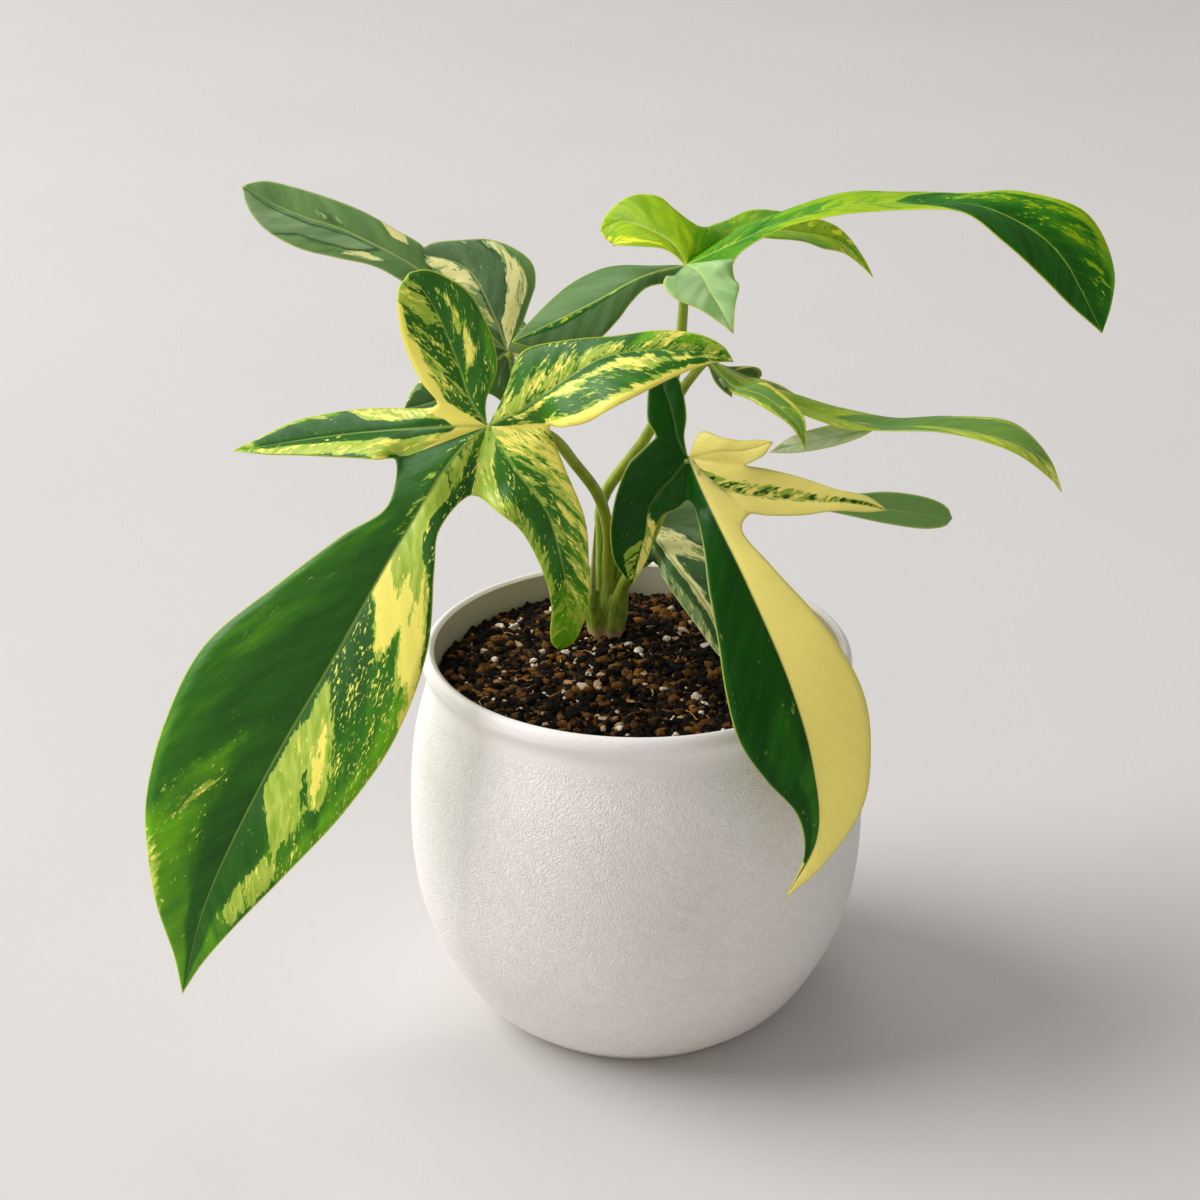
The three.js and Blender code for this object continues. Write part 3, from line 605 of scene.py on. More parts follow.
def crownMaterial():  # pink at the foot, then patches of green and olive, and the stalks' green on top
    material = newMaterial("crownSkin", 0.55)
    place, height = objectPlace()
    patches = stretched(place, (330, 330, 120), 4)
    fine = stretched(place, (1400, 1400, 260), 4)
    wavy = calc("MULTIPLY_ADD", patches, 0.006, calc("SUBTRACT", height, 0.003))
    colour = blend(ramp(patches, 0.46, 0.56), crown["olive"], crown["green"])
    colour = blend(ramp(wavy, 0.1235, 0.1205), colour, crown["pink"])
    colour = blend(ramp(wavy, 0.13, 0.139), colour, crown["top"])
    put("Base Color", blend(ramp(fine, 0.56, 0.72, 0, 0.6), colour, crown["edge"]))
    relief(fine, 0.5, 0.7)
    return material


stalkSkin = tissueMaterial("stalkSkin", rgb(170, 186, 56), rgb(142, 162, 46), rgb(120, 146, 30), 0.36)
youngSkin = tissueMaterial("youngLeafSkin", rgb(186, 202, 112), rgb(134, 156, 66), rgb(206, 204, 150), 0.45)


def buildStalk(name, path, kind, skin, node):
    stalk = tubeAlong(name, path, kind["radii"], kind["rings"], kind["sides"])
    settle(stalk)
    dress(stalk, skin, "stalk", node)


buildStalk("youngLeaf", youngLeaf["path"], youngLeaf, youngSkin, "young_leaf")


# Leaves: each blade is a sheet of lobes around the stalk's joint, clockwise as seen from above.
# A lobe has a rib, the direction its upper side faces, the fold of its halves in degrees, and
# (place along the rib, half-width) pairs of its left and right margins. Its base says how much of each
# of the two pale layers shows (0 to 1), how light the green is, and how flecked. Patches change these
# four: side (0 is both), from and to along the rib, from and to across, then the four new amounts.

blade = {
    "thickness": 0.52, "edgeShare": 0.45, "edgeWidth": 1.2, "groove": 0.3, "keel": 0.8, "ribWidth": 1.05,
    "seamRows": 14, "fewestRows": 8, "rowStep": 1.7, "columns": 13, "crowding": 1.5, "tangentStep": 0.002,
    "camber": 0.05, "fold": 6, "relax": 5, "ripple": 0.55, "rippleLength": 17, "rippleReach": 9,
    "ribTaper": 0.75, "ribRelief": (0.9, 0.3, 1.2), "grainBend": 0.9, "grainStretch": 0.5, "farFromEdge": 50,
    "patchEdge": (0.03, 0.13), "patchDrift": (0.016, 0.11), "driftScale": (14, 2.6),
}


def ribFrames(lobe, places):
    points = lobe["curve"](places)
    ahead = lobe["curve"](np.minimum(places + blade["tangentStep"], 1))
    along = unit(ahead - lobe["curve"](np.maximum(places - blade["tangentStep"], 0)))
    ups = np.array(lobe["up"], float)
    slot = places * (len(ups) - 1)
    k = np.minimum(slot.astype(int), len(ups) - 2)
    up = ups[k] + (ups[k + 1] - ups[k]) * (slot - k)[:, None]
    up = unit(up - along * np.sum(up * along, axis=1)[:, None])
    return points, along, up, np.cross(along, up)


def marginPoints(lobe, side, pairs):
    places, widths = np.array(pairs, float).T
    points, along, up, right = ribFrames(lobe, places)
    fold = math.radians(lobe.get("fold", blade["fold"]))
    return points + right * (side * widths * math.cos(fold))[:, None] + up * (widths * math.sin(fold))[:, None]


def boundaryLine(leaf, number, side, places):  # seam from the joint to the sinus, then the margin
    lobe = leaf["lobes"][number]
    pairs = lobe["left"] if side < 0 else lobe["right"]
    own = marginPoints(lobe, side, pairs)
    tip = lobe["curve"](np.array([1.0]))
    joint = np.array([leaf["joint"]], float)
    other = number + side
    if not 0 <= other < len(leaf["lobes"]):
        knots = [0.0] + [place for place, width in pairs] + [1.0]
        curve = smoothCurve(np.vstack([joint, own, tip]))
        return curve(np.interp(places, knots, range(len(knots))) / (len(knots) - 1))
    neighbour = leaf["lobes"][other]
    sinus = np.array([leaf["sinuses"][number - 1 if side < 0 else number]], float)
    nearPairs = neighbour["right"] if side < 0 else neighbour["left"]
    beyond = marginPoints(neighbour, -side, nearPairs[:1])
    curve = smoothCurve(np.vstack([beyond, sinus, own, tip]))
    knots = [lobe["neck"]] + [place for place, width in pairs] + [1.0]
    margin = curve((1 + np.interp(places, knots, range(len(knots)))) / len(knots))
    share = (np.arange(blade["seamRows"] + 1) / blade["seamRows"])[:, None]
    margin[: blade["seamRows"] + 1] = joint + (sinus - joint) * share
    return margin


def lobeRows(leaf, number, side):
    lobe = leaf["lobes"][number]
    seam = lobe["neck"] * np.arange(blade["seamRows"] + 1) / blade["seamRows"]
    count = max(blade["fewestRows"], round(lobe["length"] * (1 - lobe["neck"]) / blade["rowStep"]))
    places = np.concatenate([seam, lobe["neck"] + (1 - lobe["neck"]) * np.arange(1, count + 1) / count])
    points, along, up, right = ribFrames(lobe, places)
    edges = boundaryLine(leaf, number, side, places)
    width = np.linalg.norm(edges - points, axis=1)
    t = (np.arange(blade["columns"] + 1) / blade["columns"]) ** blade["crowding"]
    arch = 4 * blade["camber"] * width[:, None] * t * (1 - t)
    grid = points[:, None] + (edges - points)[:, None] * t[:, None] + up[:, None] * arch[..., None]
    return places, points, along, edges, width, t, grid


def smoothWindow(value, low, high, feather):
    rise = np.clip((value - low) / feather + 0.5, 0, 1)
    fall = np.clip((high - value) / feather + 0.5, 0, 1)
    return rise * rise * (3 - 2 * rise) * fall * fall * (3 - 2 * fall)


def paintLobe(lobe, side, g, across, seed):  # the four amounts for every point of one half
    amounts = np.ones(g.shape + (4,)) * np.array(lobe["base"], float)
    du, dv = blade["driftScale"]
    drift = [np.array([noise.noise(Vector((u * du, v * dv, seed + k * 9))) for u, v in zip(g.flat, across.flat)])
             for k in (0, 1)]
    g = g + blade["patchDrift"][0] * drift[0].reshape(g.shape)
    across = across + blade["patchDrift"][1] * drift[1].reshape(g.shape)
    featherG, featherA = blade["patchEdge"]
    for patchSide, g0, g1, a0, a1, *change in lobe.get("patches", []):
        if patchSide in (0, side):
            weight = smoothWindow(g, g0, g1, featherG) * smoothWindow(across, a0, a1, featherA)
            amounts += weight[..., None] * (np.array(change, float) - amounts)
    return amounts


def samplePoints(leaf):  # all halves: positions, shading values, and faces of sample numbers
    positions, traits, faces, start = [], [], [], 0
    for lobe in leaf["lobes"]:
        lobe["curve"], lobe["length"] = byLength(smoothCurve([leaf["joint"]] + lobe["rib"]))
    for number, lobe in enumerate(leaf["lobes"]):
        for side in (-1, 1):
            places, points, along, edges, width, t, grid = lobeRows(leaf, number, side)
            rows, columns = grid.shape[:2]
            offset = grid - points[:, None]
            ahead = np.sum(offset * along[:, None], axis=2)
            w = np.linalg.norm(offset - ahead[..., None] * along[:, None], axis=2)
            s = places[:, None] * lobe["length"] + ahead
            hasNeighbour = 0 <= number + side < len(leaf["lobes"])
            inSeam = hasNeighbour & (places < lobe["neck"] - 1e-9)
            toSinus = np.minimum(np.linalg.norm(grid - edges[blade["seamRows"]], axis=2), blade["farFromEdge"])
            edge = np.where(inSeam[:, None], toSinus, width[:, None] * (1 - t))
            widest = max(half for place, half in lobe["left"] + lobe["right"])
            run = 1.0 * w + blade["grainBend"] * w * w / widest  # how far a grain line has gone along the lobe
            origin = s - run
            ribWidth = leaf.get("ribWidth", blade["ribWidth"]) * (1 - blade["ribTaper"] * places)
            seed = number * 2.0 + (side > 0) + leaf["seed"]
            amounts = paintLobe(lobe, side, origin / lobe["length"], np.broadcast_to(t, w.shape), seed)
            traits.append(np.stack([
                s, w * side, edge, origin * blade["grainStretch"], np.hypot(w, run), np.full(w.shape, seed),
                *(amounts[..., k] for k in (0, 1, 2)), np.broadcast_to(ribWidth[:, None], w.shape), amounts[..., 3],
            ], axis=-1).reshape(-1, 11))
            positions.append(grid.reshape(-1, 3))
            a = (start + np.arange(rows - 1)[:, None] * columns + np.arange(columns - 1)).ravel()
            quad = [a, a + 1, a + columns + 1, a + columns]
            faces.append(np.stack(quad if side > 0 else quad[:1] + quad[:0:-1], axis=1))
            start += rows * columns
    return np.vstack(positions), np.vstack(traits), np.vstack(faces)


def buildSheet(name, positions, faces):  # welds samples at one place and leaves out empty faces
    unique, weld = np.unique(np.round(positions, 4), axis=0, return_inverse=True)
    weld = weld.ravel()
    kept = []
    for face in faces:
        ring = [sample for i, sample in enumerate(face) if weld[sample] != weld[face[i - 1]]]
        if len({weld[sample] for sample in ring}) == len(ring) > 2:
            kept.append(ring)
    return addMesh(name, unique, [[int(weld[sample]) for sample in ring] for ring in kept]), weld, kept


def relaxSheet(sheet, rounds):  # softens the creases along seams, and keeps the margin
    pick(sheet)
    bpy.ops.object.mode_set(mode="EDIT")
    selectEdge()
    bpy.ops.mesh.select_all(action="INVERT")
    group = sheet.vertex_groups.new(name="inner")
    bpy.ops.object.vertex_group_assign()
    bpy.ops.object.mode_set(mode="OBJECT")
    smooth = sheet.modifiers.new("relax", "SMOOTH")
    smooth.iterations = rounds
    smooth.factor = 0.5
    smooth.vertex_group = group.name
    applyAll(sheet)


def buildBlade(leaf):
    positions, traits, faces = samplePoints(leaf)
    sheet, weld, rings = buildSheet(leaf["name"], positions, faces)
    relaxSheet(sheet, blade["relax"])
    middle = np.array([v.co for v in sheet.data.vertices]) / mm
    normal = np.array([v.normal for v in sheet.data.vertices])
    count = len(middle)
    across, edge, ribWidth = (np.full(count, 999.0) for _ in range(3))
    for nearest, values in ((across, np.abs(traits[:, 1])), (edge, traits[:, 2]), (ribWidth, traits[:, 9])):
        np.minimum.at(nearest, weld, values)
    start = Vector((leaf["seed"], 0, 0))
    wave = np.array([noise.noise(Vector(p) / blade["rippleLength"] + start) for p in middle])
    middle = middle + normal * (wave * blade["ripple"] * np.exp(-edge / blade["rippleReach"]))[:, None]
    thinning = np.clip(edge / blade["edgeWidth"], 0, 1)
    half = blade["thickness"] / 2 * (blade["edgeShare"] + (1 - blade["edgeShare"]) * thinning)
    fullWidth, least, most = blade["ribRelief"]
    rib = np.exp(-(across / ribWidth) ** 2) * np.clip(ribWidth / fullWidth, least, most)
    top = middle + normal * (half - blade["groove"] * rib)[:, None]
    under = middle - normal * (half + blade["keel"] * rib)[:, None]

    upper = [[int(weld[sample]) for sample in ring] for ring in rings]
    lower = [[count + v for v in reversed(corners)] for corners in upper]
    edgeUse = {}
    for ring, corners in zip(rings, upper):
        for i in range(len(ring)):
            edgeUse[(corners[i - 1], corners[i])] = (ring[i - 1], ring[i])
    rim, rimSamples = [], []
    for (a, b), (sa, sb) in edgeUse.items():
        if (b, a) not in edgeUse:
            rim.append([a, count + a, count + b, b])
            rimSamples.append([sa, sa, sb, sb])
    body = addMesh(leaf["name"], np.vstack([top, under]), upper + lower + rim)

    samples = [np.concatenate(part) for part in (rings, [ring[::-1] for ring in rings], rimSamples)]
    back = np.repeat([0, 1, 0], [len(part) for part in samples])
    values = np.column_stack([traits[np.concatenate(samples).astype(int)], back])
    for i, name in enumerate(("rib", "grain", "paint", "trait")):
        attribute = body.data.attributes.new(name, "FLOAT_VECTOR", "CORNER")
        attribute.data.foreach_set("vector", values[:, 3 * i: 3 * i + 3].astype(np.float32).ravel())
    bpy.data.objects.remove(sheet)
    settle(body)
    return body


def bladeMaterial(name, tones):
    material = newMaterial(name, tones["rough"], tones["shine"])

    def parts(attribute):
        source = make("Attribute", out=1, attribute_name=attribute)
        return [make("SeparateXYZ", {0: source}, out=i) for i in range(3)]

    along, across, edge = parts("rib")
    grainU, grainV, seed = parts("grain")
    layerA, layerB, light = parts("paint")
    ribWidth, flecked, back = parts("trait")
    far = calc("ABSOLUTE", across)

    def streaks(sizeU, sizeV, shift, detail=3, rough=0.55):
        u, v = calc("DIVIDE", grainU, sizeU), calc("DIVIDE", grainV, sizeV)
        spot = make("CombineXYZ", {0: u, 1: v, 2: calc("MULTIPLY_ADD", seed, 3.7, shift)})
        return cloud(spot, 1, detail, rough)

    def layer(amount, shift):
        broad = streaks(2.3, 12, shift, 4, 0.6)
        fine = streaks(0.6, 2.2, shift + 20, 2)
        mixed = plus(times(broad, 0.68), times(fine, 0.32))
        level = calc("MULTIPLY_ADD", amount, 0.44, -0.22)
        return ramp(plus(mixed, level), 0.482, 0.518)

    # pale layers, flecks and the shades of green between them
    crowd = calc("MULTIPLY_ADD", streaks(4.5, 8, 70, 2), 0.55, -0.275)
    fleckNoise = plus(calc("MULTIPLY_ADD", flecked, 0.2, streaks(0.95, 1.5, 40, 2)), crowd)
    fleckMask = times(ramp(fleckNoise, 0.745, 0.775), ramp(flecked, 0.01, 0.12))
    topPale = calc("MAXIMUM", layer(layerA, 0), fleckMask)
    deepPale = calc("MAXIMUM", layer(layerB, 60), times(fleckMask, ramp(fleckNoise, 0.79, 0.84)))
    greenNoise = streaks(5, 26, 90)
    greenAmount = plus(calc("MULTIPLY_ADD", greenNoise, 0.9, -0.45), light)
    green = blend(ramp(greenAmount, 0, 0.55), tones["dark"], tones["green"])
    green = blend(ramp(greenAmount, 0.55, 1), green, tones["bright"])
    # painted sheen: below zero, the light amount mixes the green towards a pale grey-green that is partly the leaf's
    # own tone and partly painted sheen
    greyAndSheen = blend(ramp(greenNoise, 0.38, 0.62), tones["greyAndSheenDeep"], tones["greyAndSheen"])
    green = blend(ramp(light, -0.02, -0.5), green, greyAndSheen)
    lime = blend(ramp(streaks(1.6, 7, 120), 0.35, 0.65), tones["lime"], tones["limeDeep"])
    onePale = blend(calc("MAXIMUM", topPale, deepPale), green, lime)
    colour = blend(times(topPale, deepPale), onePale, tones["pale"])

    # side veins, midrib, margin and the paler underside
    slant = calc("SUBTRACT", along, times(far, 1.15))
    halfStep = times(calc("GREATER_THAN", across, 0), 0.5)
    spot = make("CombineXYZ", {0: calc("DIVIDE", along, 30), 1: calc("DIVIDE", across, 30), 2: seed})
    wander = cloud(spot, 5, 2)
    phase = plus(plus(calc("DIVIDE", slant, tones["veinStep"]), halfStep), times(wander, 0.4))
    toVein = times(calc("PINGPONG", phase, 0.5), tones["veinStep"] * 0.65)
    fineRipple = calc("PINGPONG", plus(calc("DIVIDE", slant, 1.9), times(wander, 4)), 0.5)
    fineVein = ramp(fineRipple, 0.12, 0)
    midrib = ramp(calc("DIVIDE", far, ribWidth), 0.62, 0.38)
    for mask, share, tone in (
            (ramp(toVein, 0.5, 0.1), tones["veinShow"], tones["veinTone"]),
            (fineVein, tones["veinShow"] * 0.4, tones["veinTone"]),
            (midrib, tones["ribShow"], tones["ribTone"]), (ramp(edge, 0.5, 0.15), 0.6, tones["margin"])):
        colour = blend(times(mask, share), colour, tone)
    put("Base Color", blend(back, colour, blend(0.45, colour, tones["under"])))

    # relief: sunk veins, swelling between them, and a fine grain
    place = make("TexCoord", out=3)
    soft = cloud(place, 90, 2)
    swell = ramp(toVein, 0, tones["veinStep"] * 0.33)
    height = plus(times(swell, 0.22), times(cloud(place, 1400, 2), 0.05))
    height = calc("SUBTRACT", plus(height, times(soft, 0.5)), times(fineVein, 0.02))
    relief(height, 1, 0.55)
    gloss = ramp(soft, 0.3, 0.7, tones["rough"] - 0.05, tones["rough"] + 0.07)
    put("Roughness", plus(gloss, times(back, 0.2)))
    put("Subsurface Weight", tones["glow"])
    put("Subsurface Radius", (1, 1.1, 0.3))
    put("Subsurface Scale", 1.3 * mm)
    return material


# Front left leaf: the largest, green with lime and yellow patches, over the pot's left side

frontLeftLeaf = {
    "name": "FrontLeft", "node": "front_left", "slot": "leaf_bright", "seed": 3, "joint": (-46, -20, 210),
    "stalk": [(-9.3, 28.4, 124), (-9.3, 28, 145), (-9, 25, 155), (-12, 20, 171), (-20, 10, 187), (-28, 0, 200),
              (-46, -20, 209.6)],
    "sinuses": [(-27, -25, 211), (-51, -26, 190), (-74, -20, 199), (-61, -17, 216)],
    "lobes": [{
        "rib": [(-35, -24, 217), (-24, -28, 226), (-11, -31, 235), (5, -33, 238), (19, -33, 237), (27, -32, 234)],
        "up": [(0, -0.75, 0.65), (0.1, -0.6, 0.8), (0.1, -0.75, 0.65)], "fold": 8, "neck": 0.22,
        "left": [(0.12, 8), (0.25, 15), (0.42, 11), (0.58, 6), (0.74, 6), (0.88, 5), (0.96, 3)],
        "right": [(0.3, 14), (0.4, 18), (0.52, 20), (0.65, 17), (0.8, 9), (0.92, 3)],
        "base": (0.4, 0.3, 0.45, 0.3), "patches": [
            (-1, -1, 1.2, 0, 0.42, 0.56, 0.4, 0.5, 0.3), (-1, 0.05, 0.6, 0.66, 1.2, 0.2, 0.16, 0.4, 0.4),
            (-1, 0.6, 1.2, 0.4, 1.2, 0.44, 0.36, 0.9, 0.3), (1, -1, 0.62, 0, 0.3, 0.2, 0.12, 0.2, 0.2),
            (1, 0.1, 0.7, 0.14, 0.3, 0.8, 0.66, 0.6, 0.1), (1, 0.5, 1, 0.28, 0.46, 0.66, 0.55, 0.7, 0.1),
            (1, -1, 1.2, 0.5, 0.74, 0.3, 0.2, 0.4, 0.2), (1, -1, 0.9, 0.8, 1.3, 0.86, 0.84, 0.7, 0.1)],
    }, {
        "rib": [(-36, -30, 198), (-28, -32, 187), (-24, -31, 172), (-22, -27, 155), (-25, -23, 137)],
        "up": [(0.1, -0.85, 0.5), (0.05, -0.95, 0.25), (0.2, -0.95, 0.1)], "neck": 0.2,
        "left": [(0.3, 12), (0.45, 10), (0.62, 8), (0.78, 6.5), (0.92, 5), (0.97, 3.4)],
        "right": [(0.28, 12), (0.38, 10), (0.5, 8), (0.65, 6), (0.8, 5), (0.92, 4), (0.97, 2.6)],
        "base": (0.45, 0.36, 0.6, 0.3), "patches": [
            (-1, -1, 0.14, 0.1, 1.3, 0.68, 0.52, 0.6, 0.2), (-1, 0.1, 0.6, 0.4, 1.3, 0.6, 0.46, 0.7, 0.3),
            (-1, 0.1, 0.75, 0, 0.36, 0.42, 0.34, 0.5, 0.3), (-1, -0.1, 0.95, 0.92, 1.3, 0.66, 0.5, 0.8, 0.1),
            (1, -1, 0.06, 0, 1.3, 0.74, 0.38, 0.5, 0.3), (1, 0.06, 0.75, 0, 0.55, 0.26, 0.18, 0.4, 0.3),
            (1, 0.1, 0.9, 0.7, 1.3, 0.56, 0.3, 0.8, 0.2), (0, 0.66, 0.8, 0, 1.3, 0.42, 0.3, 0.8, 0.3),
            (0, 0.8, 1.2, 0, 1.3, 0.38, 0.22, 1, 0.3)],
    }, {
        "rib": [(-54, -24, 204), (-71, -33, 180), (-92, -43, 145), (-114, -53, 109), (-134, -63, 69),
                (-143, -66, 38)],
        "up": [(-0.1, -0.8, 0.55), (-0.15, -0.88, 0.38), (-0.25, -0.92, 0.2), (-0.1, -0.95, 0.2)], "fold": 9,
        "neck": 0.12,
        "left": [(0.17, 9), (0.22, 14), (0.33, 25), (0.46, 30), (0.6, 28), (0.74, 20), (0.86, 11), (0.94, 4)],
        "right": [(0.18, 9), (0.25, 16), (0.36, 26), (0.5, 36), (0.62, 35), (0.74, 29), (0.86, 15), (0.94, 5)],
        "base": (0.03, 0, 0.28, 0.03), "patches": [
            (1, 0.15, 0.5, 0.6, 1.3, 0.05, 0, 0.55, 0.05), (1, 0.5, 1.2, 0.3, 1.3, 0.08, 0.04, 0.8, 0.2),
            (1, 0.56, 0.7, 0.5, 1.3, 0.14, 0.06, 1, 0.4),
            (1, 0.545, 0.6, 0.3, 0.78, 0.52, 0.34, 0.7, 0.3), (1, 0.6, 0.78, 0.84, 1.3, 0.46, 0.4, 0.9, 0.4),
            (1, 0.08, 0.22, 0, 0.24, 0.4, 0.26, 0.4, 0.2), (1, -0.3, 0.08, 0.1, 0.5, 0.4, 0.26, 0.4, 0.2),
            (-1, -0.9, 0.1, 0, 1.3, 0.5, 0.2, 0.6, 0.3), (-1, -0.9, 0, 0.82, 1.3, 0.95, 0.9, 0.4, 0.3),
            (-1, 0.1, 0.275, 0, 1.3, 0.98, 0.16, 0.6, 0.25), (-1, 0.02, 0.155, 0.52, 1.3, 0.1, 0.06, 0.15, 0.75),
            (-1, 0.24, 0.31, 0, 0.52, 1, 1, 0.6, 0), (-1, 0.2, 0.265, 0.42, 0.78, 1, 0.96, 0.6, 0.1),
            (-1, 0.155, 0.215, 0.72, 1.3, 0.96, 0.84, 0.6, 0.1),
            (-1, 0.3, 0.47, 0, 0.55, 0.16, 0.12, 0.25, 0.8), (-1, 0.225, 0.47, 0.5, 1.3, 0.14, 0.1, 0.5, 0.75),
            (-1, 0.2, 0.62, 0.86, 1.3, 0.2, 0.16, 0.95, 0.7), (-1, 0.43, 0.63, 0.06, 0.74, 0.97, 0.24, 0.5, 0.1),
            (-1, 0.44, 0.49, 0.3, 0.66, 1, 0.7, 0.5, 0), (-1, 0.5, 0.53, 0.34, 0.8, 0.2, 0.1, 0.3, 0.4),
            (-1, 0.5, 0.68, 0.62, 0.86, 0.3, 0.12, 0.6, 0.3), (-1, 0.62, 0.88, 0.5, 0.93, 0.72, 0.3, 0.8, 0.1),
            (-1, 0.66, 1.2, 0, 0.4, 0.04, 0, 0.3, 0.1), (-1, 0.8, 1.2, 0.4, 1.3, 0.25, 0.1, 0.8, 0.1)],
    }, {
        "rib": [(-56, -20, 210), (-85, -12, 205), (-101, -9, 202), (-115, -7, 199), (-126, -6, 197)],
        "up": [(0, -0.75, 0.65), (-0.1, -0.55, 0.85), (-0.1, -0.6, 0.8)], "fold": 10, "neck": 0.26,
        "left": [(0.38, 12), (0.55, 10), (0.7, 7), (0.85, 4)],
        "right": [(0.34, 7), (0.45, 8), (0.6, 8), (0.75, 7), (0.9, 3)],
        "base": (0.04, 0.02, 0.25, 0.25), "patches": [
            (-1, 0.12, 0.9, 0.36, 0.92, 0.95, 0.38, 0.8, 0.1), (-1, -0.6, 0.1, 0.3, 1.3, 1, 0.95, 0.8, 0),
            (1, 0, 0.4, 0.42, 1.3, 0.95, 0.45, 0.8, 0.1), (0, -1, 0.12, 0, 1.3, 1, 1, 0.8, 0),
            (1, 0.45, 0.95, 0.8, 1.3, 0.6, 0.3, 0.9, 0.1), (0, 0.88, 1.2, 0, 1.3, 0.5, 0.3, 0.85, 0.1)],
    }, {
        "rib": [(-51, -17, 217), (-54, -13, 225), (-57.5, -10, 234), (-62, -8, 244), (-69, -7, 254)],
        "up": [(0, -0.85, 0.5), (-0.15, -0.9, 0.4), (-0.1, -0.9, 0.4)], "fold": 10, "neck": 0.24,
        "left": [(0.35, 12), (0.5, 13), (0.65, 12.8), (0.8, 11.3), (0.92, 8), (0.98, 4.5)],
        "right": [(0.12, 4), (0.3, 11), (0.45, 13), (0.6, 13), (0.75, 11.5), (0.9, 7), (0.97, 4)],
        "base": (0.42, 0.32, 0.4, 0.4), "patches": [
            (-1, -1, 0.3, 0.7, 1.3, 1, 0.96, 0.5, 0), (-1, 0.25, 0.7, 0.86, 1.3, 1, 0.9, 0.5, 0),
            (-1, 0.66, 1.2, 0.4, 1.3, 0.62, 0.4, 0.8, 0.3),
            (-1, -1, 0.05, 0.3, 0.66, 0.2, 0.12, 0.3, 0.3), (1, -1, 1.2, 0, 1.3, 0.24, 0.17, 0.35, 0.35),
            (1, 0.25, 0.75, 0.3, 0.5, 0.56, 0.46, 0.6, 0.2), (1, -1, 0.2, 0.75, 1.3, 0.14, 0.08, 0.8, 0.2)],
    }],
}

# Back left leaf: grey green and cream, its longest lobe up to the left

backLeftLeaf = {
    "name": "BackLeft", "node": "back_left", "slot": "leaf_grey", "seed": 19, "joint": (-41, 14, 223),
    "stalk": [(-13.5, 30, 124), (-18, 29, 145), (-24, 26, 168), (-31, 22, 191), (-37, 17, 211), (-41, 14, 222.6)],
    "sinuses": [(-47, 8, 211), (-62, 15, 234), (-67, 24, 249), (-36, 20, 231)],
    "lobes": [{
        "rib": [(-39, 11, 212), (-35, 8, 200)], "up": [(0, -0.8, 0.6), (0.1, -0.9, 0.4)], "neck": 0.4,
        "left": [(0.2, 3), (0.45, 6), (0.7, 6), (0.88, 3)], "right": [(0.6, 5), (0.8, 4)],
        "base": (0.3, 0.2, 0.4, 0.2),
    }, {
        "rib": [(-53, 8, 215), (-63, 4, 210), (-73, 2, 208)], "up": [(-0.2, -0.7, 0.7), (-0.2, -0.8, 0.5)],
        "fold": 8, "neck": 0.3,
        "left": [(0.5, 7), (0.7, 7), (0.88, 4)], "right": [(0.45, 8), (0.65, 9), (0.8, 8), (0.92, 5)],
        "base": (0.1, 0, 0.3, 0), "patches": [(1, -0.5, 1.1, 0.7, 1.3, 0.8, 0.3, 0.5, 0)],
    }, {
        "rib": [(-54, 17, 236), (-65, 20, 245), (-75, 22, 251), (-93, 26, 259), (-104, 28, 262), (-115, 31, 266),
                (-124, 33, 271)],
        "up": [(0, -0.7, 0.7), (0.1, -0.75, 0.65), (0.1, -0.8, 0.6)], "neck": 0.3,
        "left": [(0.36, 7), (0.5, 7), (0.62, 10), (0.75, 11), (0.87, 9), (0.95, 5)],
        "right": [(0.4, 7), (0.5, 7.5), (0.62, 8), (0.75, 8.5), (0.87, 7.5), (0.95, 5)],
        "base": (0.06, 0, 0.8, 0.05), "patches": [
            # painted light and sheen: the first patch lightens a half that faces away from the lamps with the pale
            # grey-green
            (-1, 0.5, 0.98, 0.16, 1.3, 0.06, 0, -0.5, 0.02), (-1, 0.5, 0.66, 0.62, 1.3, 0.05, 0, 0.9, 0),
            (-1, 0.42, 0.5, 0.45, 0.8, 0.9, 0.7, 0.5, 0), (1, 0.36, 0.44, 0.6, 1.3, 0.8, 0.7, 0.5, 0),
            (1, 0.62, 0.72, 0.1, 0.4, 0.45, 0.05, 0.5, 0)],
    }, {
        "rib": [(-45, 19, 232), (-49, 23, 240), (-53, 27, 245), (-60, 30, 248), (-71, 33, 249)],
        "up": [(0.1, -0.8, 0.6), (0.1, -0.85, 0.5)], "neck": 0.28,
        "left": [(0.55, 7), (0.7, 7), (0.85, 4)], "right": [(0.3, 15), (0.45, 18), (0.6, 13), (0.75, 7), (0.9, 4)],
        "base": (0.12, 0.04, -0.24, 0.2), "patches": [
            (-1, 0.1, 0.9, 0.05, 0.9, 0.72, 0.56, 0.5, 0.1), (1, -1, 0.17, 0.24, 0.86, 0.7, 0.66, 0.5, 0.1),
            (1, -1, 0.1, 0.86, 1.3, 0.1, 0, 1, 0), (1, 0.14, 0.34, 0.7, 1, 0.6, 0.5, 0.5, 0.1),
            (-1, -1, 0.12, 0.1, 1.3, 0.2, 0, 0.5, 0)],
    }, {
        "rib": [(-31, 17, 220), (-18, 19, 218)], "up": [(0, -0.7, 0.7), (0.1, -0.8, 0.5)], "fold": 8, "neck": 0.35,
        "left": [(0.5, 6), (0.75, 5), (0.9, 3)], "right": [(0.15, 2), (0.4, 5), (0.7, 5), (0.88, 3)],
        "base": (0.95, 0.3, 0.4, 0),
    }],
}

# Top right leaf: lime lobes, and a long one arching to the right with a dark end

